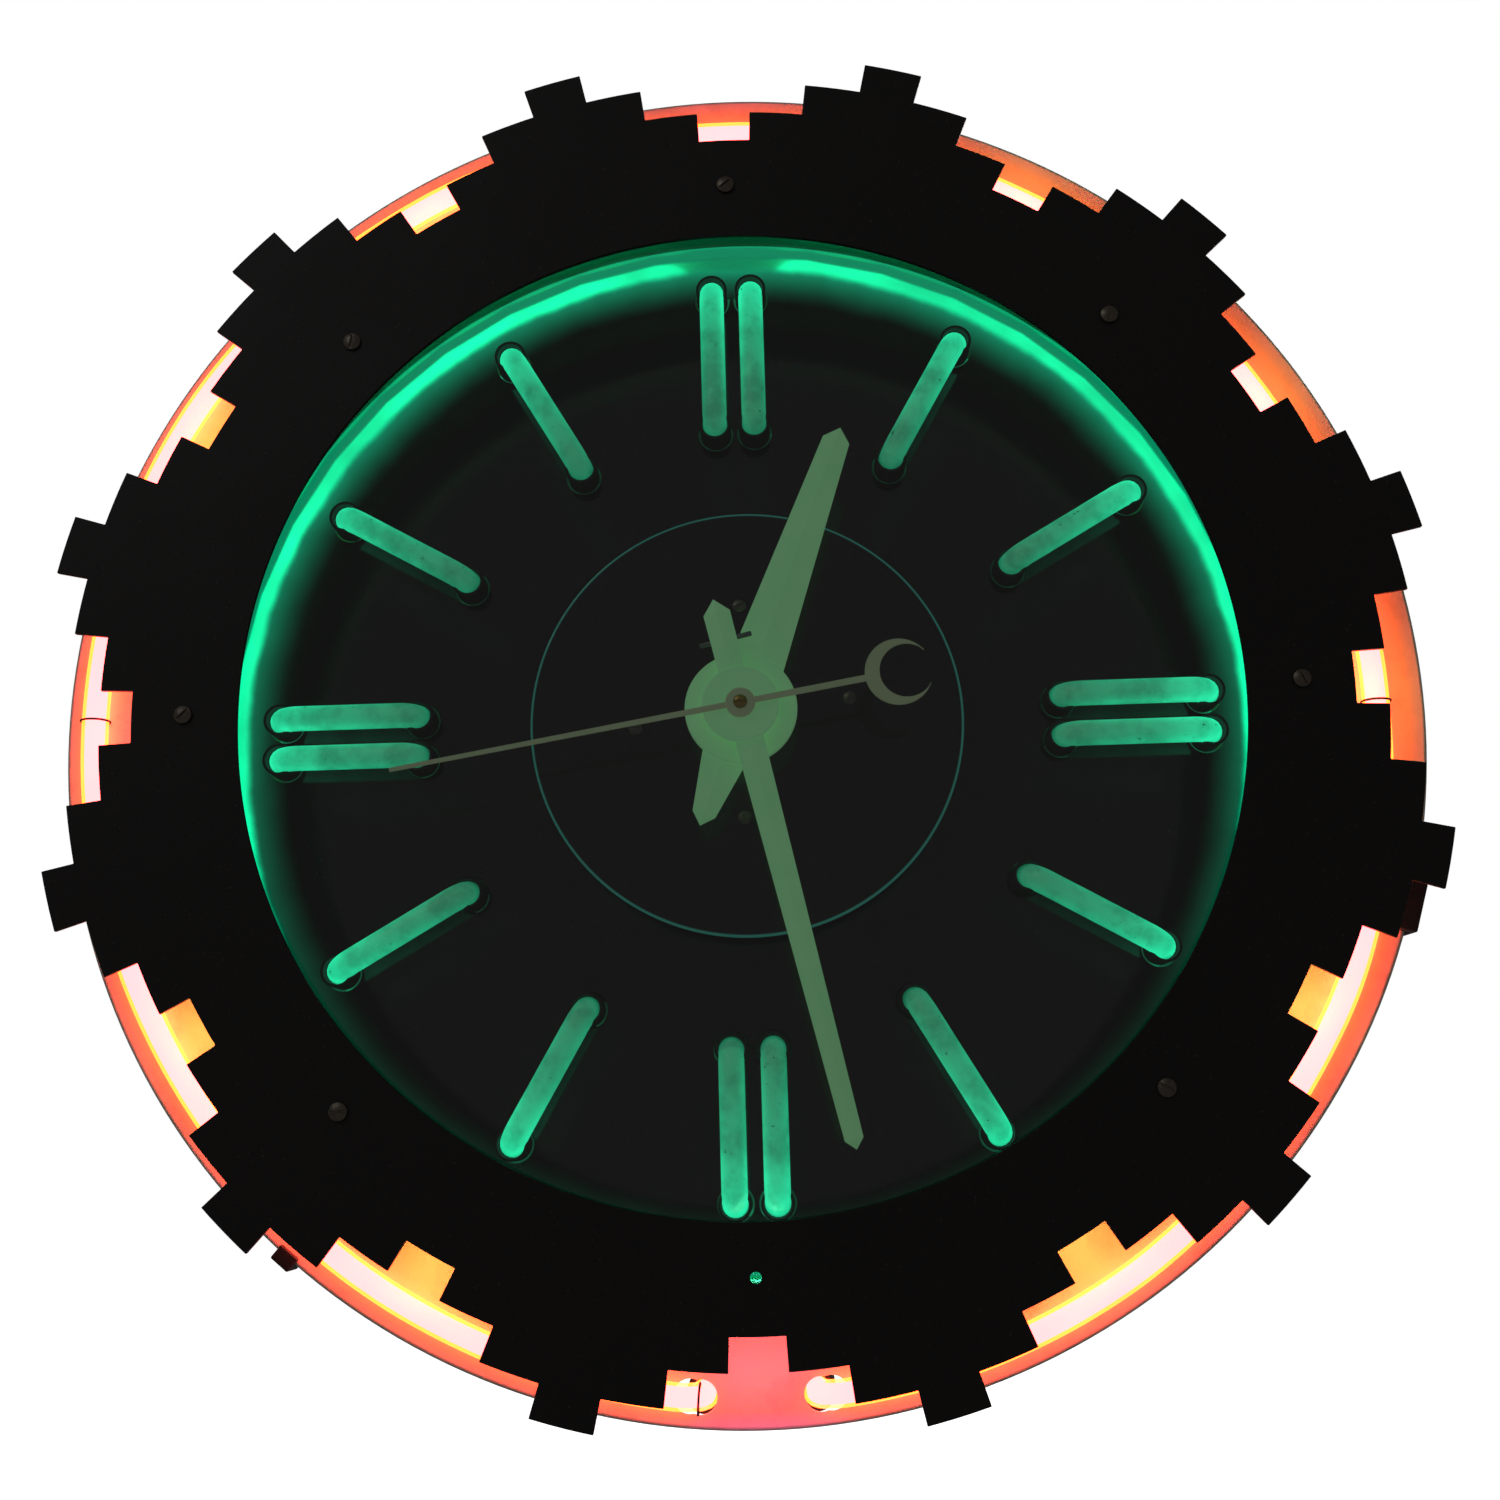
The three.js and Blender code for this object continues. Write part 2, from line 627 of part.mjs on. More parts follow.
/** Rubber boots over the red ring's electrodes, behind the pan. */
['left', 'right'].forEach((name, i) => {
  const angle = RED_RING.gapAngle + (i === 0 ? 1 : -1) * RED_RING.halfGap;
  const mouth = RED_RING.z - RED_RING.bendR - 2;
  const boot = turned([
    [0, mouth - 52],
    [7, mouth - 52],
    [9.5, mouth - 40],
    [9.5, mouth],
    [TUBE_R + 0.6, mouth],
    [TUBE_R + 0.6, RED_RING.legZ - 1],
    [0, RED_RING.legZ - 1],
  ], 10);
  const centre = clockPoint(ringRadius(RED_RING, angle), angle);
  place(add(`red_electrode_boot_${name}`, boot, rubber), centre, 0);
});

// ---- Movement --------------------------------------------------------------------------------
const plateFront = dialBack - 2.5;
const plateBack = plateFront - 1.5;
const hourWheelZ = [-90, -92];
const minuteWheelZ = [-95, -97];
const caseFront = -99.5;
const gearCaseBack = -125;
const HALF_PLATE = 45;

function movementFrame() {
  const corner = HALF_PLATE - 5;
  const plate = box(-HALF_PLATE, HALF_PLATE, -HALF_PLATE, HALF_PLATE, plateBack, plateFront);
  const pillars = [[1, 1], [1, -1], [-1, 1], [-1, -1]].map(([sx, sy]) =>
    rod(3, plateBack + 0.5, caseFront + GAP, 8).translate(sx * corner, sy * corner, 0));
  return cut(join(plate, ...pillars), rod(BUSH.out + 0.4, 0, -120, 12));
}

function gearCase() {
  const half = HALF_PLATE;
  return cut(
    box(-half, half, -half, half, gearCaseBack, caseFront),
    rod(MINUTE_PIPE.out + 0.6, 0, caseFront - 10, 12),
    rod(SECONDS_R + 0.6, 0, -160, 8),
    rod(2.6, 0, -160, 8).translate(knobCentre.x, knobCentre.y, 0),
  );
}

function centreBush() {
  return turned([
    [BUSH.in, -31],
    [BUSH.out, -31],
    [BUSH.out, dialBack - GAP],
    [16, dialBack - GAP],
    [16, plateFront + GAP],
    [BUSH.out, plateFront + GAP],
    [BUSH.out, plateBack - 1],
    [BUSH.in, plateBack - 1],
  ], 16);
}

add('movement_frame', movementFrame(), brass);
add('gear_case', gearCase(), zinc);
add('centre_bush', centreBush(), brass);
add('dial_nut', cut(rod(17, DIAL_Z + 5, DIAL_Z + GAP, 6), rod(BUSH.out + GAP, 0, -120)), brass);
add('synchronous_motor', cut(
  rod(28, gearCaseBack - GAP, -150, 20).translate(0, 14, 0),
  rod(SECONDS_R + 0.8, 0, -132, 8),
), black_enamel);

add('hour_pipe', cut(
  join(rod(HOUR_PIPE.out, -24.8, hourWheelZ[1]), gear(HOUR_WHEEL_TEETH, -90, ...hourWheelZ)),
  rod(HOUR_PIPE.in, 0, -120),
), brass);
add('minute_arbor', cut(
  join(rod(MINUTE_PIPE.out, -15, caseFront - 6), gear(CANNON_TEETH, -90, -94, -98)),
  rod(MINUTE_PIPE.in, 0, -120),
), brass);
add('seconds_arbor', rod(SECONDS_R, -11.2, -130, 12), steel);

const wheelPitch = 360 / MINUTE_WHEEL_TEETH;
const pinionPitch = 360 / MINUTE_PINION_TEETH;
place(add('minute_wheel', cut(
  join(
    gear(MINUTE_WHEEL_TEETH, 90 + wheelPitch / 2, ...minuteWheelZ),
    gear(MINUTE_PINION_TEETH, 90 + pinionPitch / 2, -89.5, minuteWheelZ[0] - 0.5),
  ),
  rod(1.9, 0, -120, 8),
), brass), knobCentre, 0);
place(add('setting_arbor', rod(1.5, -88, -156, 8), steel), knobCentre, 0);

function settingKnob() {
  const knurls = 12;
  const outline = [];
  for (let i = 0; i < knurls; i += 1) {
    outline.push(clockPoint(12, (360 * i) / knurls));
    outline.push(clockPoint(11, (360 * (i + 0.5)) / knurls));
  }
  const body = sheet(outline, [], -151, -160.5);
  return cut(body, rod(1.9, 0, -157, 8));
}
place(add('setting_knob', settingKnob(), moulding), knobCentre, 0);

// ---- Hands -----------------------------------------------------------------------------------
add('hour_hand', hand(HOUR, -24.8, HOUR_PIPE.out + GAP), mint_paint);
add('minute_hand', hand(MINUTE, -15, MINUTE_PIPE.out + GAP), mint_paint);

/** A short rod clipped across the back of the minute hand's tail. */
const tailRod = new THREE.CylinderGeometry(1.3, 1.3, 27, 8)
  .rotateZ(Math.PI / 2)
  .translate(-1, -35, MINUTE.z - GAP - 1.3)
  .rotateZ(-radians(MINUTE.angle));
add('minute_tail_rod', tailRod, zinc);

function secondHand() {
  const { tip, rodHalf, tipHalf, bossR, z } = SECOND;
  const front = z + HAND_EDGE;
  const root = -(CRESCENT.at - CRESCENT.r + 2);
  const stem = sheet([
    new THREE.Vector2(-rodHalf, root),
    new THREE.Vector2(rodHalf, root),
    new THREE.Vector2(tipHalf, tip),
    new THREE.Vector2(-tipHalf, tip),
  ], [], front, z);
  const moon = cut(
    rod(CRESCENT.r, front, z, 36).translate(0, -CRESCENT.at, 0),
    rod(CRESCENT.cutR, front + 1, z - 1, 30).translate(0, -CRESCENT.cutAt, 0),
  );
  const boss = rod(bossR, front + 1.2, z - 0.8, 20);
  const bore = rod(SECONDS_R + GAP, 0, -20, 12);
  return cut(join(stem, moon, boss), bore).rotateZ(-radians(SECOND.angle));
}
add('second_hand', secondHand(), mint_paint);
add('hand_screw', rod(3.5, SECOND.z + HAND_EDGE + 1.2 + 1.5, SECOND.z + HAND_EDGE + 1.5, 12), brass);

// ---- Power supply ----------------------------------------------------------------------------
/** A potted neon transformer with two porcelain outlets on its upper side. */
function transformer(x, y) {
  const body = box(x - 72, x + 72, y - 38, y + 38, drumBack + SHEET_T + 0.5, -104);
  const outlets = [-40, 40].map((dx) =>
    new THREE.CylinderGeometry(7, 9, 20, 10).translate(x + dx, y + 47, -135));
  return join(body, ...outlets);
}
add('transformer_red', transformer(-110, -130), black_enamel);
add('transformer_green', transformer(110, -130), black_enamel);
add('terminal_block', box(-22, 22, -232, -212, drumBack + SHEET_T + 0.5, -148), moulding);

coverScrewAngles.forEach((angle, i) => {
  const screw = slottedScrew(COUNTERSUNK, 31 * i).rotateX(Math.PI);
  const seat = coverFront - 0.1;
  place(add(`cover_screw_${i + 1}`, screw, steel), clockPoint(COVER_SCREW_R, angle), seat);
});

// ---- Stand the clock up against its wall -----------------------------------------------------
clock.rotation.x = Math.PI / 2;
clock.position.y = coverBack;

export default clock;
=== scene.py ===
# %% [markdown]
# # Service station advertising clock
# A wall clock in three layers. A matt black steel fascia, cut like the tread of a tyre, stands in
# front. Behind its teeth a red neon ring lights a shallow white dish, and behind its round window a
# green neon ring lights a gloss black dial with bent glass tubes for hour markers.
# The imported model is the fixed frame: it says where every piece goes, and this script gives each
# piece its finished shape and its finish around it.

# %% The frame
import json
import math

import bmesh
import bpy
from mathutils import Matrix, Vector


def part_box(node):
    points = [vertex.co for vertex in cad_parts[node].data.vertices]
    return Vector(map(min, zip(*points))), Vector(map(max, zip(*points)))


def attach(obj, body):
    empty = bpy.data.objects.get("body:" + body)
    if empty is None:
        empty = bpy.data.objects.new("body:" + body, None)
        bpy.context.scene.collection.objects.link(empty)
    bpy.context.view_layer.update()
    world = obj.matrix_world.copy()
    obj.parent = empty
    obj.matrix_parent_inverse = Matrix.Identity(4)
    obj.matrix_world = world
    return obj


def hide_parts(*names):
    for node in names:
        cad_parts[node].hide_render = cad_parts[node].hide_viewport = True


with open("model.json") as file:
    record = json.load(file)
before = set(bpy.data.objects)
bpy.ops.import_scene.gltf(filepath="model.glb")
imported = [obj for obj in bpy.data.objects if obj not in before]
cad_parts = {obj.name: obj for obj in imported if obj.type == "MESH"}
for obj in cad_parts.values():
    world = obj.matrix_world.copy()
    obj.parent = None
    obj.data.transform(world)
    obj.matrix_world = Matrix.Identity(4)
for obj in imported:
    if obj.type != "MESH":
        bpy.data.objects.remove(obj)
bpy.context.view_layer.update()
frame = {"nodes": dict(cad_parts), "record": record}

# %% [markdown]
# ## Places on a clock
# A clock is easiest to describe by its own measures: how far from the arbor, at which clock angle,
# and how deep behind the fascia. One function turns those into a point of the frame, in metres. The
# dial looks along -Y, so a turn about +Y is clockwise for somebody who reads the clock.

# %% Places
MM = 0.001
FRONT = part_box("fascia_plate")[0].y


def at(radius, clock_angle, depth):
    """A point: radius and depth in millimetres, the angle in degrees clockwise from twelve."""
    a = math.radians(clock_angle)
    return Vector((radius * math.sin(a) * MM, FRONT + depth * MM, radius * math.cos(a) * MM))


def clockwise(angle):
    return Matrix.Rotation(math.radians(angle), 4, "Y")


DEPTH = -FRONT / MM
print(f"the clock is {DEPTH:.1f} mm deep")

# %% [markdown]
# ## The camera
# The clock hangs above eye level. The camera stands about a metre in front of the dial and a hand's
# breadth below the rim's middle, and looks a little upwards.

# %% Camera
camera_data = bpy.data.cameras.new("camera")
camera_data.sensor_width = 36
camera_data.lens = 43.09
camera = bpy.data.objects.new("camera", camera_data)
camera.location = (0.01871, -1.02176, -0.20636)
camera.rotation_euler = [math.radians(a) for a in (101.823, 1.628, 1.2995)]
bpy.context.scene.collection.objects.link(camera)
bpy.context.scene.camera = camera
bpy.context.scene.view_settings.view_transform = "Standard"

# %% [markdown]
# ## Light
# The neon does most of the lighting, so the room is kept dim: a weak warm sky all round, a large
# soft lamp in front, high on the left, and a stronger one behind, high on the right. A white card
# behind everything is what a catalogue picture has. It is seen directly but gives no light of its
# own, or it would wash the neon out.

# %% Room
ROOM_GREY = (1.0, 0.97, 0.95, 1)
world = bpy.data.worlds.new("dim_room")
world.use_nodes = True
bpy.context.scene.world = world


def add_node(tree, kind, inputs=(), output=0, **settings):
    """Adds a shader node and gives back one of its outputs, if it has any.

    Settings are the node's own properties; inputs go to its sockets, as values or links.
    """
    made = tree.nodes.new(f"ShaderNode{kind}")
    for name, value in settings.items():
        setattr(made, name, value)
    for socket, value in dict(inputs).items():
        if isinstance(value, bpy.types.NodeSocket):
            tree.links.new(value, made.inputs[socket])
        else:
            made.inputs[socket].default_value = value
    return made.outputs[output] if len(made.outputs) else None


tree = world.node_tree
tree.nodes.clear()
dim = add_node(tree, "Background", {"Color": ROOM_GREY, "Strength": 0.075})
card = add_node(tree, "Background", {"Color": (1, 1, 1, 1), "Strength": 1.0})
seen = add_node(tree, "LightPath", output="Is Camera Ray")
sky = add_node(tree, "MixShader", {0: seen, 1: dim, 2: card})
add_node(tree, "OutputWorld", {"Surface": sky})


def soft_lamp(name, watts, size, place):
    """A round lamp that shines on the dial's middle."""
    lamp = bpy.data.lights.new(name, "AREA")
    lamp.energy = watts
    lamp.shape = "DISK"
    lamp.size = size
    holder = bpy.data.objects.new(name, lamp)
    holder.location = place
    holder.rotation_euler = (-Vector(place)).to_track_quat("-Z", "Y").to_euler()
    bpy.context.scene.collection.objects.link(holder)


soft_lamp("key_lamp", watts=2.4, size=1.2, place=(-1.3, -1.7, 1.5))
soft_lamp("back_lamp", watts=40, size=1.6, place=(1.2, 2.2, 1.4))

# %% [markdown]
# ## The glow between the sheets
# A real tube floods the narrow space behind the teeth with light that bounces many times. A render
# stops after a few bounces, so small unseen lamps add the rest: one at each notch but the one at
# six, one on each side of the gap there, and a tiny green one inside the drum under the empty hole.


# %% Hidden lamps
def hidden_lamp(name, watts, radius, colour, place):
    """A small ball of light that the eye, mirrors and clear glass don't show."""
    lamp = bpy.data.lights.new(name, "POINT")
    lamp.energy = watts
    lamp.color = colour
    lamp.shadow_soft_size = radius * MM
    holder = bpy.data.objects.new(name, lamp)
    holder.location = place
    holder.visible_camera = False
    holder.visible_glossy = False
    holder.visible_transmission = False
    bpy.context.scene.collection.objects.link(holder)


YELLOW_GLOW = (1.0, 0.62, 0.2)
SALMON_GLOW = (1.0, 0.11, 0.3)
SEA_GLOW = (0.6, 1.0, 0.85)
LAMP_R = 12
SCREW_CIRCLE_R = 275
for hour in range(12):
    if hour != 6:
        colour = SALMON_GLOW if hour in (0, 9) else YELLOW_GLOW
        hidden_lamp(f"notch_lamp_{hour}", 0.035, LAMP_R, colour, at(311, 30 * hour, 14))
for side in (-1, 1):
    hidden_lamp(f"gap_lamp_{side + 2}", 0.05, LAMP_R, SALMON_GLOW, at(322, 180 + 2.2 * side, 10))
hidden_lamp("screw_hole_lamp", 0.012, 3, SEA_GLOW, at(SCREW_CIRCLE_R, 180, 66))

# %% [markdown]
# ## Colours
# A colour is written as the hex value it has on a screen. Shaders work with linear light, so one
# function turns the first into the second.


# %% Colours
def linear(hex_colour):
    """The linear RGBA of an sRGB hex value such as '#1C1817'."""
    parts = [int(hex_colour[i : i + 2], 16) / 255 for i in (1, 3, 5)]
    return tuple(c / 12.92 if c <= 0.04045 else ((c + 0.055) / 1.055) ** 2.4 for c in parts) + (1,)


def new_finish(name):
    """A new material, its emptied tree and the place on the piece, in metres."""
    finish = bpy.data.materials.new(name)
    finish.use_nodes = True
    tree = finish.node_tree
    tree.nodes.clear()
    return finish, tree, add_node(tree, "TexCoord", output="Object")


finishes = {}


def keep_finish(slot, finish, surface):
    """Puts the finished surface on the material's output and keeps it under its slot."""
    tree = finish.node_tree
    add_node(tree, "OutputMaterial", {"Surface": surface})
    finishes[slot] = finish
    print("finish", slot, "has", len(tree.nodes), "nodes")


# %% [markdown]
# ## Recipes that finishes share
# Three recipes come back: how far a place is from the arbor, how squarely the surface faces the
# reader, and glass that only bends what the eye follows.


# %% Shared recipes
def distance_from(tree, place, centre_x=0.0):
    """Distance from the arbor's line, or from a line beside it, in metres."""
    moved = add_node(tree, "VectorMath", {0: place, 1: (centre_x, 0, 0)}, operation="SUBTRACT")
    flat = add_node(tree, "VectorMath", {0: moved, 1: (1, 0, 1)}, operation="MULTIPLY")
    return add_node(tree, "VectorMath", {0: flat}, output="Value", operation="LENGTH")


def towards_reader(tree):
    """One where the surface faces the reader squarely, zero where it is seen edge on."""
    facing = add_node(tree, "NewGeometry", output="Normal")
    return add_node(tree, "VectorMath", {
        0: facing, 1: (0, -1, 0),
    }, output="Value", operation="DOT_PRODUCT")


def open_to_lamps(tree, glass, tint):
    """Glass that lets lamplight and soft bounced light straight through, tinted."""
    open_way = add_node(tree, "BsdfTransparent", {"Color": linear(tint)})
    path = add_node(tree, "LightPath").node.outputs
    lamp_or_bounce = add_node(tree, "Math", {
        0: path["Is Shadow Ray"], 1: path["Is Diffuse Ray"],
    }, operation="MAXIMUM")
    return add_node(tree, "MixShader", {0: lamp_or_bounce, 1: glass, 2: open_way})


# %% [markdown]
# ## Matt black stoved paint
# The fascia is sheet steel sprayed with matt alkyd paint and stoved. The eye sees a soft, slightly
# warm black, a sprayed grain of about half a millimetre, and decades of fine dust that settled on
# it. Paint is a dielectric with an IOR of about 1.5, and matt paint has a roughness near 0.55.

# %% Matt black paint
finish, tree, place = new_finish("matt_black_stoved_paint")
grain = add_node(tree, "TexNoise", {"Vector": place, "Scale": 1400, "Detail": 3, "Roughness": 0.6})
patches = add_node(tree, "TexNoise", {"Vector": place, "Scale": 14, "Detail": 5, "Roughness": 0.65})
specks = add_node(tree, "TexNoise", {"Vector": place, "Scale": 620, "Detail": 2})
dust = add_node(tree, "MapRange", {"Value": specks, "From Min": 0.68, "From Max": 0.78, "To Max": 0.35})
aged = add_node(tree, "Mix", {
    0: patches, 6: linear("#0F0B0A"), 7: linear("#1D1613"),
}, data_type="RGBA", output=2)
dusted = add_node(tree, "Mix", {0: dust, 6: aged, 7: linear("#6A6058")}, data_type="RGBA", output=2)
rough = add_node(tree, "MapRange", {"Value": patches, "To Min": 0.46, "To Max": 0.64})
relief = add_node(tree, "Bump", {"Height": grain, "Strength": 0.25, "Distance": 0.0003})
paint = add_node(tree, "BsdfPrincipled", {
    "Base Color": dusted, "Roughness": rough, "IOR": 1.5, "Normal": relief,
})
keep_finish("matt_black_paint", finish, paint)

# %% [markdown]
# ## Ivory vitreous enamel
# The dish behind the red ring and the inside of the drum are enamelled so that they throw the light
# forwards. Enamel is glass fused on steel: IOR about 1.5, glossy under a film of dirt. Next to the
# tube its front face is painted yellow, a painted glow for the strong red light there, and the rim
# stays white, so the colour is mixed by the distance from the dial's middle. Inside the drum the coat
# is painted sea green, painted light that gives the wall round the dial the colour of its ring.

# %% Ivory enamel
finish, tree, place = new_finish("ivory_vitreous_enamel")
radius = distance_from(tree, place)
# painted glow: the dish's front face between 0.29 and 0.348 m from the arbor is painted yellow for the
# strong red light under the tube
inside_rim = add_node(tree, "MapRange", {"Value": radius, "From Min": 0.348, "From Max": 0.339})
outside_drum = add_node(tree, "MapRange", {"Value": radius, "From Min": 0.290, "From Max": 0.300})
painted_glow_band = add_node(tree, "Math", {0: inside_rim, 1: outside_drum}, operation="MULTIPLY")
forward = towards_reader(tree)
front_side = add_node(tree, "Math", {0: forward, 1: 0.5}, operation="GREATER_THAN")
painted_yellow_glow = add_node(tree, "Math", {0: painted_glow_band, 1: front_side}, operation="MULTIPLY")
grime = add_node(tree, "TexNoise", {"Vector": place, "Scale": 45, "Detail": 6, "Roughness": 0.7})
film = add_node(tree, "MapRange", {"Value": grime, "From Min": 0.5, "From Max": 0.85, "To Max": 0.55})
enamel = add_node(tree, "Mix", {
    0: painted_yellow_glow, 6: linear("#EDE6DA"), 7: linear("#F0DC93"),
}, data_type="RGBA", output=2)
soiled_with_painted_glow = add_node(tree, "Mix", {0: film, 6: enamel, 7: linear("#A58E6A")}, data_type="RGBA", output=2)
# painted light: inside the drum the coat is painted sea green for the green ring's light on its wall
painted_green_light_mask = add_node(tree, "MapRange", {"Value": radius, "From Min": 0.2822, "From Max": 0.2819})
coat_with_painted_light = add_node(tree, "Mix", {
    0: painted_green_light_mask, 6: soiled_with_painted_glow, 7: linear("#2FB38A"),
}, data_type="RGBA", output=2)
rough = add_node(tree, "MapRange", {"Value": grime, "To Min": 0.3, "To Max": 0.6})
relief = add_node(tree, "Bump", {"Height": grime, "Strength": 0.15, "Distance": 0.0006})
enamel_surface = add_node(tree, "BsdfPrincipled", {
    "Base Color": coat_with_painted_light, "Roughness": rough, "IOR": 1.5, "Normal": relief,
})
keep_finish("white_enamel", finish, enamel_surface)

# %% [markdown]
# ## Clear window glass
# The front glass is a plain float pane, IOR 1.52. Rays from lamps and soft bounced light go
# straight through, and only what the eye follows is bent and mirrored: that keeps the pane clear
# and its light free of noise. A faint film of dust dulls its mirror in patches.

# %% Clear glass
finish, tree, place = new_finish("clear_window_glass")
smear = add_node(tree, "TexNoise", {"Vector": place, "Scale": 9, "Detail": 4, "Roughness": 0.6})
rough = add_node(tree, "MapRange", {"Value": smear, "To Max": 0.03})
pane = add_node(tree, "BsdfPrincipled", {
    "Base Color": linear("#F4FBF9"), "Roughness": rough, "IOR": 1.52, "Transmission Weight": 1.0,
})
keep_finish("clear_glass", finish, open_to_lamps(tree, pane, "#F4FBF9"))

# %% [markdown]
# ## Black glass dial
# The dial is a glass disc painted gloss black on its face, and the raised disc at its middle is
# made the same way. The colour barely matters: what the eye sees is the markers mirrored in it, and
# specks of dust that catch the light. IOR 1.52, roughness about 0.1. The raised disc's ground edge
# is bare glass, and a thin teal line of painted glow on it stands for the green light it catches.


# %% Black dial enamel
def gloss_black(tree, place):
    """Gloss black enamel with drifting haze and dust; gives back its colour and roughness."""
    specks = add_node(tree, "TexVoronoi", {"Vector": place, "Scale": 260}, output="Distance")
    haze = add_node(tree, "TexNoise", {"Vector": place, "Scale": 22, "Detail": 5, "Roughness": 0.7})
    dust = add_node(tree, "MapRange", {
        "Value": specks, "From Min": 0.05, "From Max": 0.11, "To Min": 0.8, "To Max": 0,
    })
    where = add_node(tree, "MapRange", {"Value": haze, "From Min": 0.5, "From Max": 0.62})
    dusty = add_node(tree, "Math", {0: dust, 1: where}, operation="MULTIPLY")
    colour = add_node(tree, "Mix", {
        0: dusty, 6: linear("#0D0D0F"), 7: linear("#5A6A62"),
    }, data_type="RGBA", output=2)
    rough = add_node(tree, "MapRange", {"Value": haze, "To Min": 0.04, "To Max": 0.16})
    return colour, rough


DISC_SHIFT = 2.2
finish, tree, place = new_finish("gloss_black_glass_with_painted_edge_glow")
colour, rough = gloss_black(tree, place)
# painted glow: a thin teal emission along the raised disc's edge stands for the green light it catches
painted_edge_glow = add_node(tree, "MapRange", {
    "Value": distance_from(tree, place, DISC_SHIFT * MM), "From Min": 0.1113, "From Max": 0.1119,
    "To Min": 0, "To Max": 0.09,
})
disc_surface = add_node(tree, "BsdfPrincipled", {
    "Base Color": colour, "Roughness": rough, "IOR": 1.52, "Emission Color": (0.12, 0.85, 0.66, 1),
    "Emission Strength": painted_edge_glow,
})
keep_finish("disc_glass", finish, disc_surface)

# %% [markdown]
# ## The dial's bare margin
# The black paint stops short of the dial's edge with a soft, sprayed border, and beyond it the glass
# is frosted. The green ring stands behind that margin, so the frost fills with its light, and a faint
# painted green glow is added to the frost. Inside the border the black paint carries a painted green
# glow that grows towards the margin and is stronger higher up the dial. As with the window, light
# that only passes through goes straight, and what the eye follows is scattered.

# %% Dial finish
finish, tree, place = new_finish("gloss_black_dial_with_frosted_margin")
colour, rough = gloss_black(tree, place)
radius = distance_from(tree, place)
wander = add_node(tree, "TexNoise", {"Vector": place, "Scale": 28, "Detail": 3, "Roughness": 0.6})
shifted = add_node(tree, "Math", {0: wander, 1: 0.006, 2: radius}, operation="MULTIPLY_ADD")
bare = add_node(tree, "MapRange", {
    "Value": shifted, "From Min": 0.2655, "From Max": 0.2715,
}, interpolation_type="SMOOTHSTEP")
# painted glow: green emission on the black paint, growing towards the margin and stronger higher up the
# dial
painted_glow_ramp = add_node(tree, "MapRange", {"Value": shifted, "From Min": 0.247, "From Max": 0.273})
painted_glow_falloff = add_node(tree, "Math", {0: painted_glow_ramp, 1: 2.0}, operation="POWER")
height = add_node(tree, "SeparateXYZ", {0: place}, output="Z")
painted_glow_by_height = add_node(tree, "MapRange", {
    "Value": height, "From Min": -0.16, "From Max": 0.14, "To Min": 0.06, "To Max": 0.4,
})
painted_seep_glow = add_node(tree, "Math", {0: painted_glow_falloff, 1: painted_glow_by_height}, operation="MULTIPLY")
painted = add_node(tree, "BsdfPrincipled", {
    "Base Color": colour, "Roughness": rough, "IOR": 1.52, "Emission Color": (0.01, 1.0, 0.5, 1),
    "Emission Strength": painted_seep_glow,
})
# the frost's own emission is a faint painted green glow on top of the ring's real light through it
frosted = add_node(tree, "BsdfPrincipled", {
    "Base Color": linear("#E2FFF0"), "Roughness": 0.42, "IOR": 1.3, "Transmission Weight": 1.0,
    "Emission Color": (0.01, 1.0, 0.5, 1), "Emission Strength": 0.1,
})
margin = open_to_lamps(tree, frosted, "#E2FFF0")
dial_surface = add_node(tree, "MixShader", {0: bare, 1: painted, 2: margin})
keep_finish("black_glass", finish, dial_surface)

# %% [markdown]
# ## Red neon
# A neon tube is clear soda glass round a column of glowing gas. The column looks almost white where
# the eye meets most of it, and the glass round it is filled with a soft orange glow. So the tube is
# two pieces: a bright core of gas, and a glass wall that lets half of the core's light through and
# glows by itself. The glass keeps a thin mirror on top.

# %% Red neon
finish, tree, place = new_finish("neon_gas_glow")
flicker = add_node(tree, "TexNoise", {"Vector": place, "Scale": 18, "Detail": 2})
colour = add_node(tree, "Mix", {
    0: flicker, 6: (1.0, 0.05, 0.14, 1), 7: (1.0, 0.06, 0.16, 1),
}, data_type="RGBA", output=2)
gas = add_node(tree, "BsdfPrincipled", {
    "Base Color": linear("#2A0A05"), "Roughness": 0.9, "Emission Color": colour,
    "Emission Strength": 10.0,
})
keep_finish("neon_gas", finish, gas)

finish, tree, place = new_finish("red_neon_glass_tube")
flicker = add_node(tree, "TexNoise", {"Vector": place, "Scale": 30, "Detail": 3})
colour = add_node(tree, "Mix", {
    0: flicker, 6: (1.0, 0.12, 0.008, 1), 7: (1.0, 0.16, 0.012, 1),
}, data_type="RGBA", output=2)
red_tube = add_node(tree, "BsdfPrincipled", {
    "Base Color": linear("#FF8A5A"), "Roughness": 0.08, "IOR": 1.5, "Alpha": 0.5,
    "Emission Color": colour, "Emission Strength": 7.0,
})
keep_finish("red_neon_tube", finish, red_tube)

# %% [markdown]
# ## Green neon
# The green ring is argon and mercury vapour in a tube lined with green phosphor powder. The powder
# glows, not the gas, so the tube shines evenly from wall to wall, in a blue-green that holds almost
# no red. Its glow wavers a little along the tube, where the lining is thinner.

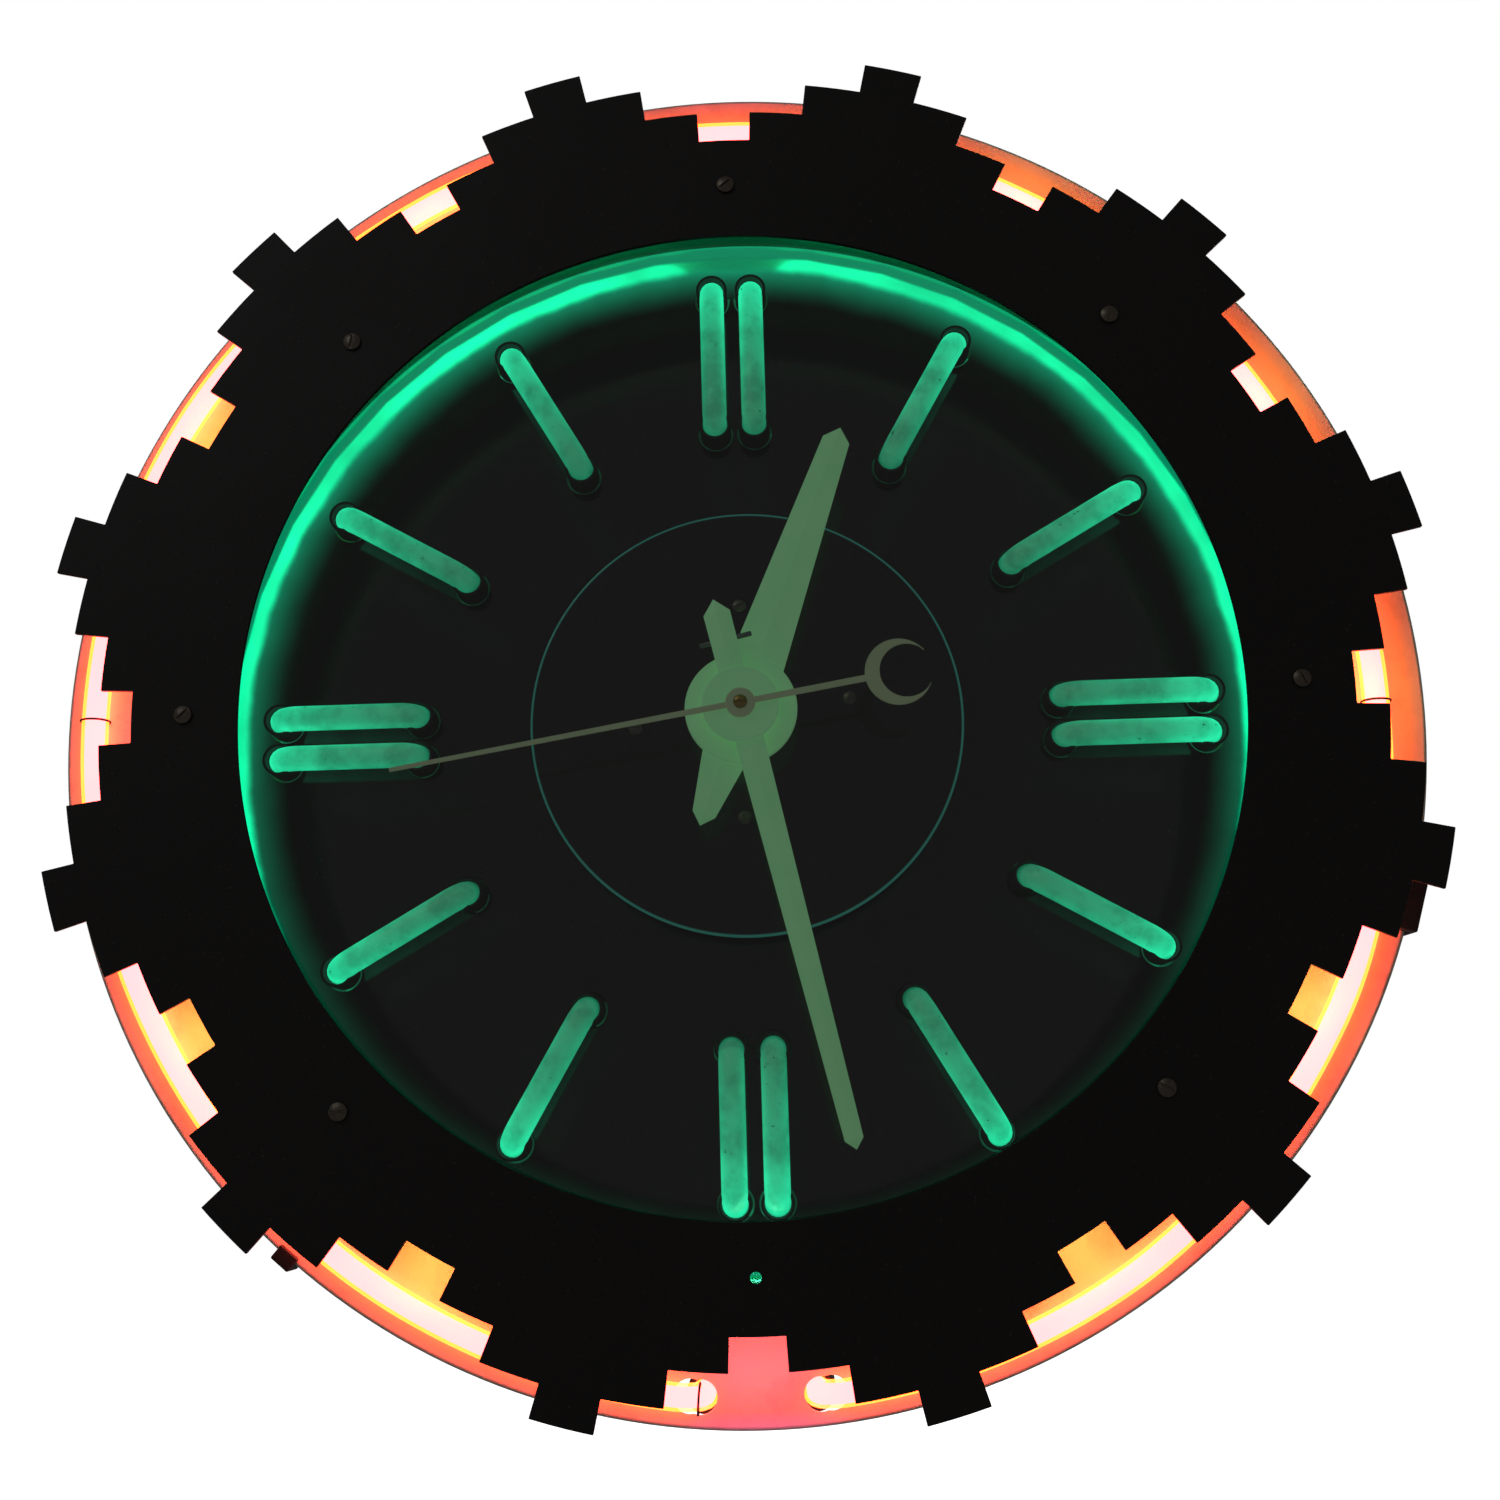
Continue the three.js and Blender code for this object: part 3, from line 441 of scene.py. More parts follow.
# %% Green neon
finish, tree, place = new_finish("green_phosphor_lined_tube")
powder = add_node(tree, "TexNoise", {"Vector": place, "Scale": 11, "Detail": 3, "Roughness": 0.6})
lining = add_node(tree, "MapRange", {"Value": powder, "From Min": 0.34, "From Max": 0.62})
colour = add_node(tree, "Mix", {
    0: lining, 6: (0.002, 0.42, 0.19, 1), 7: (0.006, 1.0, 0.48, 1),
}, data_type="RGBA", output=2)
green_tube = add_node(tree, "BsdfPrincipled", {
    "Base Color": linear("#BFE8D2"), "Roughness": 0.1, "IOR": 1.5, "Emission Color": colour,
    "Emission Strength": 1.3,
})
keep_finish("green_neon_tube", finish, green_tube)

# %% [markdown]
# ## Marker tubes
# The hour markers are the same glass tube with a milky lining, not lit themselves. Their green is a
# painted glow: brightest at the outer ends next to the ring, fainter inwards, brighter on the sides,
# while the strip that faces the reader stays a greyer green, with pits in the lining. The painted
# glow fades quickly on the legs where they dive towards the dial.

# %% Marker tubes
finish, tree, place = new_finish("milky_marker_glass")
radius = distance_from(tree, place)
# painted glow: the markers' emission grows along them and near the ring
painted_glow_along_marker = add_node(tree, "MapRange", {
    "Value": radius, "From Min": 0.165, "From Max": 0.225, "To Min": 0.16, "To Max": 0.4,
})
painted_glow_near_ring = add_node(tree, "MapRange", {
    "Value": radius, "From Min": 0.218, "From Max": 0.252, "To Min": 0.0, "To Max": 0.38,
})
painted_length_glow = add_node(tree, "Math", {0: painted_glow_along_marker, 1: painted_glow_near_ring}, operation="ADD")
forward = towards_reader(tree)
# painted glow: brighter where the tube's side turns away from the reader
painted_side_glow = add_node(tree, "MapRange", {
    "Value": forward, "From Min": 0.95, "From Max": 0.45, "To Min": 0.9, "To Max": 1.25,
})
pits = add_node(tree, "TexNoise", {"Vector": place, "Scale": 230, "Detail": 4, "Roughness": 0.7})
sound_lining = add_node(tree, "MapRange", {
    "Value": pits, "From Min": 0.67, "From Max": 0.70, "To Min": 1.0, "To Max": 0.12,
})
clouds = add_node(tree, "TexNoise", {"Vector": place, "Scale": 70, "Detail": 3, "Roughness": 0.6})
cloudy = add_node(tree, "MapRange", {
    "Value": clouds, "From Min": 0.35, "From Max": 0.6, "To Min": 0.72, "To Max": 1.08,
})
pit_mask = add_node(tree, "Math", {0: sound_lining, 1: cloudy}, operation="MULTIPLY")
glow = add_node(tree, "Math", {0: painted_length_glow, 1: painted_side_glow}, operation="MULTIPLY")
depth = add_node(tree, "SeparateXYZ", {0: place}, output="Y")
# painted glow: fades out on the legs behind the markers
painted_glow_leg_fade = add_node(tree, "MapRange", {
    "Value": depth, "From Min": FRONT + 0.066, "From Max": FRONT + 0.074, "To Min": 1.0,
    "To Max": 0.1,
})
pitted_painted_glow = add_node(tree, "Math", {0: glow, 1: pit_mask}, operation="MULTIPLY")
strength = add_node(tree, "Math", {0: pitted_painted_glow, 1: painted_glow_leg_fade}, operation="MULTIPLY")
milk = add_node(tree, "Mix", {
    0: pit_mask, 6: linear("#3C4A40"), 7: linear("#A9C4B0"),
}, data_type="RGBA", output=2)
marker_surface = add_node(tree, "BsdfPrincipled", {
    "Base Color": milk, "Roughness": 0.32, "IOR": 1.5, "Emission Color": (0.02, 1.0, 0.48, 1),
    "Emission Strength": strength,
})
keep_finish("marker_tube", finish, marker_surface)

# %% [markdown]
# ## Hand paint
# The hands are folded sheet under an old coat of pale green paint. It has gone dull and chalky, and
# it is greener on some patches than on others; its green is partly the paint's own and partly painted
# green light from the ring. The second hand's tone is a painted greyer olive, for the weaker green
# light further forward. Both carry a faint painted glow in their own colour. Roughness 0.45.

# %% Hand paint
# the tones are partly painted green light from the ring; the last value is a painted glow
HAND_PAINTS = {
    # key: (name, tone, other tone, painted glow)
    "hand_paint": ("chalky_paint_with_painted_green_light", "#7FCB8C", "#9CD29C", 0.21),
    "second_hand_paint": ("olive_paint_with_painted_green_light", "#95A27C", "#A4AE8C", 0.12),
}
for slot, (name, tone, other, painted_hand_glow) in HAND_PAINTS.items():
    finish, tree, place = new_finish(name)
    cloud = add_node(tree, "TexNoise", {"Vector": place, "Scale": 60, "Detail": 5, "Roughness": 0.6})
    fine = add_node(tree, "TexNoise", {"Vector": place, "Scale": 900, "Detail": 3, "Roughness": 0.7})
    colour = add_node(tree, "Mix", {
        0: cloud, 6: linear(tone), 7: linear(other),
    }, data_type="RGBA", output=2)
    chips = add_node(tree, "MapRange", {
        "Value": fine, "From Min": 0.7, "From Max": 0.76, "To Max": 0.7,
    })
    worn_with_painted_light = add_node(tree, "Mix", {
        0: chips, 6: colour, 7: linear("#3A3A30"),
    }, data_type="RGBA", output=2)
    relief = add_node(tree, "Bump", {"Height": fine, "Strength": 0.2, "Distance": 0.0002})
    # painted glow: the hand's own colour is emitted faintly, standing in for the ring's green light
    hand_surface = add_node(tree, "BsdfPrincipled", {
        "Base Color": worn_with_painted_light, "Roughness": 0.45, "IOR": 1.5, "Normal": relief, "Emission Color": worn_with_painted_light,
        "Emission Strength": painted_hand_glow,
    })
    keep_finish(slot, finish, hand_surface)

# %% [markdown]
# ## Metals, rubber and moulding
# The small pieces share a recipe: a base colour that drifts between two tones, a roughness that
# drifts with it, and a fine relief. Metals keep the default IOR. What differs is the tones, the
# size of the pattern and whether the piece is metal.

# %% Small finishes
PLAIN_FINISHES = {
    # slot: (name, tone, other tone, metallic, roughness, other roughness, pattern per metre)
    "screw_steel": ("dull_nickelled_steel", "#8C857B", "#5E5348", 1, 0.3, 0.55, 500),
    "galvanised_steel": ("galvanised_sheet", "#9DA1A3", "#7E8487", 1, 0.38, 0.55, 90),
    "brass": ("machined_brass", "#C8A45A", "#9C7A3A", 1, 0.25, 0.42, 300),
    "die_cast_zinc": ("die_cast_zinc", "#8F9294", "#6E7174", 1, 0.42, 0.6, 700),
    "rubber": ("aged_black_rubber", "#191716", "#2A2624", 0, 0.7, 0.9, 600),
    "black_enamel": ("black_stoving_enamel", "#151517", "#242426", 0, 0.25, 0.4, 120),
    "black_moulding": ("phenolic_moulding", "#17120E", "#2A211A", 0, 0.35, 0.5, 350),
}
for slot, (name, tone, other, metallic, smooth, dull, per_metre) in PLAIN_FINISHES.items():
    finish, tree, place = new_finish(name)
    drift = add_node(tree, "TexNoise", {
        "Vector": place, "Scale": per_metre, "Detail": 5, "Roughness": 0.62,
    })
    tones = add_node(tree, "Mix", {
        0: drift, 6: linear(tone), 7: linear(other),
    }, data_type="RGBA", output=2)
    rough = add_node(tree, "MapRange", {"Value": drift, "To Min": smooth, "To Max": dull})
    relief = add_node(tree, "Bump", {"Height": drift, "Strength": 0.15, "Distance": 0.0003})
    surface = add_node(tree, "BsdfPrincipled", {
        "Base Color": tones, "Roughness": rough, "Metallic": metallic, "Normal": relief,
    })
    keep_finish(slot, finish, surface)

# %% [markdown]
# ## Tools for shaping
# Almost every piece is turned: a profile spun once round the arbor. The rest are sheets cut to an
# outline, and tubes swept along a bent path. Real sheet has no knife edges, so a small bevel softens
# every sharp edge, and it is that bevel which catches the light.


# %% Shaping tools
def turned(profile, steps=180, closed=True):
    """Spins a profile of (radius, depth) millimetres round the arbor."""
    bm = bmesh.new()
    points = [bm.verts.new(at(r, 0, d)) for r, d in profile]
    pairs = list(zip(points, points[1:] + points[:1])) if closed else list(zip(points, points[1:]))
    lines = [bm.edges.new(pair) for pair in pairs]
    bmesh.ops.spin(
        bm,
        geom=points + lines,
        cent=(0, 0, 0),
        axis=(0, 1, 0),
        angle=math.tau,
        steps=steps,
        use_merge=True,
    )
    bmesh.ops.remove_doubles(bm, verts=bm.verts, dist=1e-7)
    bmesh.ops.recalc_face_normals(bm, faces=bm.faces)
    return bm


def soften(bm, width, segments=2, sharper_than=35):
    """Bevels every edge that turns by more than an angle."""
    limit = math.radians(sharper_than)
    sharp = [e for e in bm.edges if len(e.link_faces) == 2 and e.calc_face_angle() > limit]
    bmesh.ops.bevel(
        bm,
        geom=sharp,
        offset=width * MM,
        offset_type="OFFSET",
        affect="EDGES",
        segments=segments,
        profile=0.5,
        material=-1,
    )


def to_object(name, bm):
    """Makes an object of a shape and frees the shape."""
    mesh = bpy.data.meshes.new(name)
    bm.to_mesh(mesh)
    bm.free()
    obj = bpy.data.objects.new(name, mesh)
    bpy.context.scene.collection.objects.link(obj)
    return obj


def carve(bm, cutters):
    """Takes each cutter out of the shape with a Boolean modifier and gives the result back."""
    body = to_object("carving", bm)
    tools = []
    for cutter in cutters:
        tool = to_object("cutter", cutter)
        tools.append(tool)
        cut = body.modifiers.new("cut", "BOOLEAN")
        cut.object = tool
        cut.operation = "DIFFERENCE"
        cut.solver = "EXACT"
    bpy.context.view_layer.update()
    shaped = body.evaluated_get(bpy.context.evaluated_depsgraph_get())
    result = bmesh.new()
    result.from_mesh(shaped.to_mesh())
    for obj in tools + [body]:
        mesh = obj.data
        bpy.data.objects.remove(obj)
        bpy.data.meshes.remove(mesh)
    return result


def shift(bm, x, depth, up):
    """Moves a whole shape by millimetres."""
    bmesh.ops.translate(bm, verts=bm.verts, vec=(x * MM, depth * MM, up * MM))


def rod(radius, depth_front, depth_back, centre=(0, 0), segments=32):
    """A closed round rod along the depth, centred at (x, up) millimetres."""
    bm = bmesh.new()
    bmesh.ops.create_cone(
        bm,
        cap_ends=True,
        segments=segments,
        radius1=radius * MM,
        radius2=radius * MM,
        depth=(depth_back - depth_front) * MM,
    )
    bmesh.ops.rotate(bm, verts=bm.verts, matrix=Matrix.Rotation(math.pi / 2, 3, "X"))
    middle = FRONT + (depth_front + depth_back) / 2 * MM
    bmesh.ops.translate(bm, verts=bm.verts, vec=(centre[0] * MM, middle, centre[1] * MM))
    return bm


def block(size, middle):
    """A box of the given size round its middle, both in metres."""
    bm = bmesh.new()
    bmesh.ops.create_cube(bm, size=1)
    bmesh.ops.scale(bm, verts=bm.verts, vec=size)
    bmesh.ops.translate(bm, verts=bm.verts, vec=middle)
    return bm


def thickened(bm, faces, step):
    """Gives a sheet its thickness: copies its faces and moves the copy by a step, in metres."""
    grown = bmesh.ops.extrude_face_region(bm, geom=faces, use_keep_orig=True)
    moved = [g for g in grown["geom"] if isinstance(g, bmesh.types.BMVert)]
    bmesh.ops.translate(bm, verts=moved, vec=step)
    bmesh.ops.recalc_face_normals(bm, faces=bm.faces)


def joined(*shapes):
    """Puts several closed shapes into one."""
    whole = bmesh.new()
    for shape in shapes:
        part = bpy.data.meshes.new("part")
        shape.to_mesh(part)
        shape.free()
        whole.from_mesh(part)
        bpy.data.meshes.remove(part)
    return whole


def flat_place(radius, clock_angle):
    """The (x, up) millimetres of a clock place."""
    a = math.radians(clock_angle)
    return radius * math.sin(a), radius * math.cos(a)


def add_piece(name, bm, slot, body="clock_case", stands_for=(), smooth_below=40, finish=None):
    """Makes a finished piece: its mesh, its finish, the body it rides on and what it replaces."""
    obj = to_object(name, bm)
    obj.data.materials.append(finishes[finish or slot])
    obj.data.polygons.foreach_set("use_smooth", [True] * len(obj.data.polygons))
    obj.data.set_sharp_from_angle(angle=math.radians(smooth_below))
    weighted = obj.modifiers.new("even_shading", "WEIGHTED_NORMAL")
    weighted.keep_sharp = True
    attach(obj, body)
    if stands_for:
        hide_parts(*stands_for)
    print(f"{name}: {len(obj.data.polygons)} faces")
    return obj


# %% [markdown]
# ## Fascia
# The fascia is a flat ring of 2.5 mm steel whose outer edge steps up and down like the blocks of a
# tyre tread: per hour a notch, a base, a shoulder, a tooth, and back. It could be drawn as one
# outline, but a strip spun through five degrees at each step's radius follows the true arcs. The
# strips are welded, given their thickness, and their cut edges eased. The round opening is cut a
# little low, so its edge is moved down before the sheet gets its thickness.

# %% Fascia
STEP_RADII = [301, 317, 334, 350, 334, 317]
SECTOR = 5
OPENING_R = 248.2
OPENING_DROP = 1.8
BETWEEN_RADII = [262, 288]
FASCIA_T = 2.5
MISSING_SCREW = 180
SCREW_HOLE_R = 2.8


def empty_screw_hole():
    """A rod through the fascia and the drum's flange, where the screw is missing."""
    return rod(SCREW_HOLE_R, -5, 8, flat_place(SCREW_CIRCLE_R, MISSING_SCREW))


ladder = [OPENING_R, *BETWEEN_RADII, *sorted(set(STEP_RADII))]
bm = bmesh.new()
for sector in range(360 // SECTOR):
    reach = STEP_RADII[sector % len(STEP_RADII)]
    start = SECTOR * (sector - 0.5)
    points = [bm.verts.new(at(r, start, 0)) for r in ladder if r <= reach]
    lines = [bm.edges.new(pair) for pair in zip(points, points[1:])]
    bmesh.ops.spin(
        bm,
        geom=points + lines,
        cent=(0, 0, 0),
        axis=(0, 1, 0),
        angle=math.radians(SECTOR),
        steps=SECTOR,
    )
bmesh.ops.remove_doubles(bm, verts=bm.verts, dist=1e-6)
lip = [v for v in bm.verts if Vector((v.co.x, v.co.z)).length < (OPENING_R + 1) * MM]
bmesh.ops.translate(bm, verts=lip, vec=(0, 0, -OPENING_DROP * MM))
thickened(bm, bm.faces[:], (0, FASCIA_T * MM, 0))
bm = carve(bm, [empty_screw_hole()])
soften(bm, 0.35, segments=2, sharper_than=60)
add_piece("fascia_sheet", bm, "matt_black_paint", stands_for=["fascia_plate"])

# %% [markdown]
# ## Front glass, gasket and retaining ring
# The glass is a round pane bedded on a rubber ring. A moulded rubber lip is round where it shows.

# %% Glass and gasket
GLASS_R = 258
gasket = turned([(250, 3.4), (250.6, 2.8), (258, 2.8), (258, 4.3), (250.6, 4.3)], 240)
add_piece("window_gasket", gasket, "rubber", stands_for=["glass_gasket"])
pane = turned([(0, 4.6), (GLASS_R - 0.5, 4.6), (GLASS_R, 5.1), (GLASS_R, 8.1),
               (GLASS_R - 0.5, 8.6), (0, 8.6)], 180, closed=False)
add_piece("window_glass", pane, "clear_glass", stands_for=["front_glass"])

# %% [markdown]
# ## Screws
# All the screws are slotted. A head is turned with a domed top, its slot is cut across it, and it is
# left at an angle of its own, as a fitter leaves it.


# %% Screws
def slotted_screw(top_r, seat_r, height, shank_r, shank_l, slot=1.2):
    """A domed slotted screw: seated at depth 0 and standing towards the reader."""
    rim = height * 0.45
    profile = [
        (0, -height),
        (top_r * 0.55, -height * 0.94),
        (top_r * 0.85, -height * 0.8),
        (seat_r * 0.97, -rim),
        (seat_r, -rim * 0.6),
        (seat_r, 0),
        (shank_r, 0),
        (shank_r, shank_l),
        (0, shank_l),
    ]
    head = turned(profile, 48, closed=False)
    groove = block((20 * MM, height * MM, slot * MM), (0, FRONT - height * MM, 0))
    screw = carve(head, [groove])
    soften(screw, 0.12, segments=1, sharper_than=50)
    return screw


def fit_screw(name, recipe, place, depth, slot_angle, cad_node, flip=False):
    """Turns a steel screw to its slot's angle and seats it at (x, up) millimetres and a depth."""
    screw = slotted_screw(*recipe)
    bmesh.ops.rotate(
        screw, verts=screw.verts, cent=(0, FRONT, 0), matrix=clockwise(slot_angle).to_3x3()
    )
    if flip:
        turn = Matrix.Rotation(math.pi, 3, "X")
        bmesh.ops.rotate(screw, verts=screw.verts, cent=(0, FRONT, 0), matrix=turn)
    x, up = place
    shift(screw, x, depth, up)
    add_piece(name, screw, "screw_steel", stands_for=[cad_node])


# top radius, seat radius, height, shank radius, shank length
PAN_HEAD = (3.6, 4.5, 2.2, 2.2, 10)
number = 0
for angle in range(0, 360, 45):
    if angle == MISSING_SCREW:
        continue
    number += 1
    fit_screw(
        f"fascia_fixing_screw_{number}",
        PAN_HEAD,
        flat_place(SCREW_CIRCLE_R, angle),
        -0.3,
        -37 * number,
        f"fascia_screw_{number}",
    )

# %% [markdown]
# ## Case
# The case is a drum of 1.5 mm steel with flanges turned in at both ends. Round it sits the dish that
# reflects the red ring: a flat ring of sheet with its rim rolled back. Both are turned.

# %% Drum and dish
DRUM_R = 283
PAN_R = 348
PAN_DEPTH = 39
COVER_IN = DEPTH - 1.5
drum = turned(
    [
        (DRUM_R - 0.6, 2.8),
        (DRUM_R, 3.4),
        (DRUM_R, COVER_IN - 0.9),
        (DRUM_R - 0.6, COVER_IN - 0.3),
        (270, COVER_IN - 0.3),
        (270, COVER_IN - 1.8),
        (DRUM_R - 1.5, COVER_IN - 1.8),
        (DRUM_R - 1.5, 4.3),
        (266, 4.3),
        (266, 2.8),
    ],
    240,
)
drum = carve(drum, [empty_screw_hole()])
add_piece("drum_case", drum, "white_enamel", stands_for=["case_drum"])

ROLL_R = 2.4
rolled = []
for step in range(7):
    turn = math.radians(15 * step)
    rolled.append((PAN_R - ROLL_R * (1 - math.sin(turn)), PAN_DEPTH + ROLL_R * (1 - math.cos(turn))))
dish = turned(
    [
        (DRUM_R + 0.4, PAN_DEPTH + 1.4),
        (DRUM_R + 1.8, PAN_DEPTH),
        *rolled,
        (PAN_R, PAN_DEPTH + 13),
        (PAN_R - 1.2, PAN_DEPTH + 13),
        (PAN_R - 1.2, PAN_DEPTH + 3.4),
        (PAN_R - 3.0, PAN_DEPTH + 1.2),
        (DRUM_R + 2.3, PAN_DEPTH + 1.2),
        (DRUM_R + 1.6, PAN_DEPTH + 1.9),
        (DRUM_R + 1.6, PAN_DEPTH + 13),
        (DRUM_R + 0.4, PAN_DEPTH + 13),
    ],
    240,
)
RED_RING = {
    "radii": [322.7, 319, 318.5, 320.6, 328.4, 333, 333, 331.5, 330, 331, 333, 329],
    "depth": 32, "gap": 180, "half_gap": 4.6, "bend": 16, "leg": 68,
}
GREEN_RING = {"radii": [272], "depth": 91, "gap": 0, "half_gap": 6.5, "bend": 10, "leg": 125}


def ring_radius(ring, angle):
    """A ring's radius at a clock angle, eased between the radii it is given."""
    radii = ring["radii"]
    place = (angle % 360) / 360 * len(radii)
    before = int(place) % len(radii)
    ease = (1 - math.cos(math.pi * (place % 1))) / 2
    return radii[before] * (1 - ease) + radii[(before + 1) % len(radii)] * ease


# Each end of the red ring passes the dish in a hole that two round cuts make a little oblong.
LEG_HOLE_R = 8.1
leg_holes = []
for side in (-1, 1):
    for along in (2, 7):
        reach = RED_RING["half_gap"] + math.degrees(along / ring_radius(RED_RING, 180))
        spot = flat_place(ring_radius(RED_RING, 180), RED_RING["gap"] + side * reach)
        leg_holes.append(rod(LEG_HOLE_R, PAN_DEPTH - 9, PAN_DEPTH + 6, spot))
dish = carve(dish, leg_holes)
add_piece("reflector_dish", dish, "white_enamel", stands_for=["reflector_pan"])

# %% [markdown]
# ## Back cover
# Nobody sees the back on the wall, but a good part has one: a galvanised disc with two keyholes to
# hang it by, a round hole for the setting knob and four countersunk screws.

# %% Back cover
KEYHOLE_X, KEYHOLE_UP = 95, 205
KEYHOLE_R, KEYHOLE_SLOT_R, KEYHOLE_RISE = 5.5, 2.75, 11.2
KNOB_UP, KNOB_HOLE_R = -24.3, 16
COVER_SCREW_CIRCLE_R, COVER_SCREW_HOLE_R = 276, 4.3
COVER_SCREW_ANGLES = (45, 135, 225, 315)
cover = rod(DRUM_R, COVER_IN, DEPTH, segments=240)
cutters = [rod(KNOB_HOLE_R, COVER_IN - 5, DEPTH + 5, (0, KNOB_UP), 48)]
for x in (-KEYHOLE_X, KEYHOLE_X):
    slot_end = (x, KEYHOLE_UP + KEYHOLE_RISE)
    cutters.append(rod(KEYHOLE_R, COVER_IN - 5, DEPTH + 5, (x, KEYHOLE_UP), 32))
    cutters.append(rod(KEYHOLE_SLOT_R, COVER_IN - 4, DEPTH + 4, slot_end, 24))
    groove_size = (2 * KEYHOLE_SLOT_R * MM, 13 * MM, KEYHOLE_RISE * MM)
    middle = (x * MM, FRONT + (DEPTH - 0.7) * MM, (KEYHOLE_UP + KEYHOLE_RISE / 2) * MM)
    cutters.append(block(groove_size, middle))
for angle in COVER_SCREW_ANGLES:
    spot = flat_place(COVER_SCREW_CIRCLE_R, angle)
    cutters.append(rod(COVER_SCREW_HOLE_R, COVER_IN - 5, DEPTH + 5, spot, 24))
cover = carve(cover, cutters)
soften(cover, 0.3, segments=2, sharper_than=60)
add_piece("back_plate", cover, "galvanised_steel", stands_for=["back_cover"])
COUNTERSUNK = (3.9, 4.1, 1.3, 2.2, 7)
for i, angle in enumerate(COVER_SCREW_ANGLES):
    fit_screw(
        f"cover_fixing_screw_{i + 1}",
        COUNTERSUNK,
        flat_place(COVER_SCREW_CIRCLE_R, angle),
        DEPTH - 1.45,
        31 * i,
        f"cover_screw_{i + 1}",
        flip=True,
    )

# %% [markdown]
# ## Cable gland and setting knob
# The gland is turned about a vertical line under the drum, so it is spun round the arbor's line
# first and then swung into place. The knob is a knurled moulding.

# %% Gland and knob
gland = turned([(3.6, 12), (6.5, 12), (6.5, -0.5), (11, -0.5), (11, -9), (8, -9.5), (8, -14),
                (5.4, -22), (3.6, -22)], 48)
soften(gland, 0.4, segments=2, sharper_than=50)
lift = Matrix.Translation((0, FRONT + 120 * MM, -DRUM_R * MM))
swing = Matrix.Rotation(math.radians(90), 4, "X")
gland.transform(lift @ swing @ Matrix.Translation((0, -FRONT, 0)))
add_piece("flex_gland", gland, "black_enamel", stands_for=["cable_gland"])

knob = turned([(0, 160.2), (10.4, 160.2), (11.4, 159.4), (11.4, 152), (10.8, 151), (1.9, 151),
               (1.9, 157), (0, 157)], 96, closed=False)
for i, vert in enumerate(knob.verts):
    flat = Vector((vert.co.x, 0, vert.co.z))
    if flat.length > 11 * MM:
        turn = math.atan2(vert.co.x, vert.co.z)
        vert.co += flat.normalized() * 0.35 * MM * math.cos(24 * turn)
shift(knob, 0, 0, KNOB_UP)
add_piece("time_setting_knob", knob, "black_moulding", "setting_train", ["setting_knob"])

# %% [markdown]
# ## Rim clips
# Two black mouldings grip the dish's rim. Each is a bent strip, drawn as its L-shaped end and
# pulled out to its width, with eased edges.


# %% Rim clips
def rim_clip(name, angle, width, reach, front, out_r, cad_node):
    """A clip that reaches in over the dish from its rim and down its outside."""
    outline = [
        (PAN_R - reach, front),
        (out_r, front),
        (out_r, PAN_DEPTH + 14),
        (PAN_R + 0.3, PAN_DEPTH + 14),
        (PAN_R + 0.3, PAN_DEPTH - 0.3),
        (PAN_R - reach, PAN_DEPTH - 0.3),
    ]
    bm = bmesh.new()
    points = [bm.verts.new(at(r, 0, d) - Vector((width / 2 * MM, 0, 0))) for r, d in outline]
    thickened(bm, [bm.faces.new(points)], (width * MM, 0, 0))
    soften(bm, 0.8, segments=3, sharper_than=50)
    bm.transform(clockwise(angle))
    add_piece(name, bm, "black_moulding", stands_for=[cad_node])


rim_clip("rim_grip_left", 221, 11, 4, PAN_DEPTH - 4, PAN_R + 4, "rim_clip_left")
rim_clip("rim_grip_right", 108, 30, 7, PAN_DEPTH - 8, PAN_R + 3, "rim_bracket_right")

# %% [markdown]
# ## Dial and centre disc
# The dial is a disc with a round hole for each leg of the tubes and one for the hands' pipes. The
# centre disc stands on four pillars 25 mm in front of it, a little to the right of the arbor.

# %% Dial
DIAL_DEPTH = 79
PAIR_HALF = 10.7
MARKER_DEPTH = 62.6
MARKER_ENDS = (168, 245)
# clock angle: inner and outer end, where they differ
MARKER_ENDS_AT = {0: (168, 247), 150: (168, 246.5), 270: (172, 245)}


def quarter_markers(quarter):
    """The four markers of a quarter: clock angle, sideways offset, inner and outer end."""
    markers = []
    for step, offset in ((0, -PAIR_HALF), (0, PAIR_HALF), (30, 0), (60, 0)):
        angle = 90 * quarter + step
        markers.append((angle, offset, *MARKER_ENDS_AT.get(angle, MARKER_ENDS)))
    return markers


def marker_place(radius, marker, depth):
    """A point on a marker's line: its clock angle, and its sideways offset for the pairs."""
    angle, offset = marker[:2]
    return clockwise(angle) @ (at(radius, 0, depth) + Vector((offset * MM, 0, 0)))


leg_places = []
for quarter in range(4):
    for marker in quarter_markers(quarter):
        for r in marker[2:]:
            spot = marker_place(r, marker, DIAL_DEPTH)
            leg_places.append((spot.x / MM, spot.z / MM))
DIAL_R, DIAL_T = 280.5, 3
MARKER_HOLE_R, PIPE_HOLE_R = 9.6, 11
dial = rod(DIAL_R, DIAL_DEPTH, DIAL_DEPTH + DIAL_T, segments=240)
past_front, past_back = DIAL_DEPTH - 5, DIAL_DEPTH + DIAL_T + 5
marker_holes = [rod(MARKER_HOLE_R, past_front, past_back, spot, 32) for spot in leg_places]
dial = carve(dial, [joined(*marker_holes)])
dial = carve(dial, [rod(PIPE_HOLE_R, past_front, past_back, segments=32)])
soften(dial, 0.25, segments=2, sharper_than=60)
add_piece("dial_face", dial, "black_glass", stands_for=["dial_plate"])

DISC_R = 112.8
DISC_DEPTH = 54
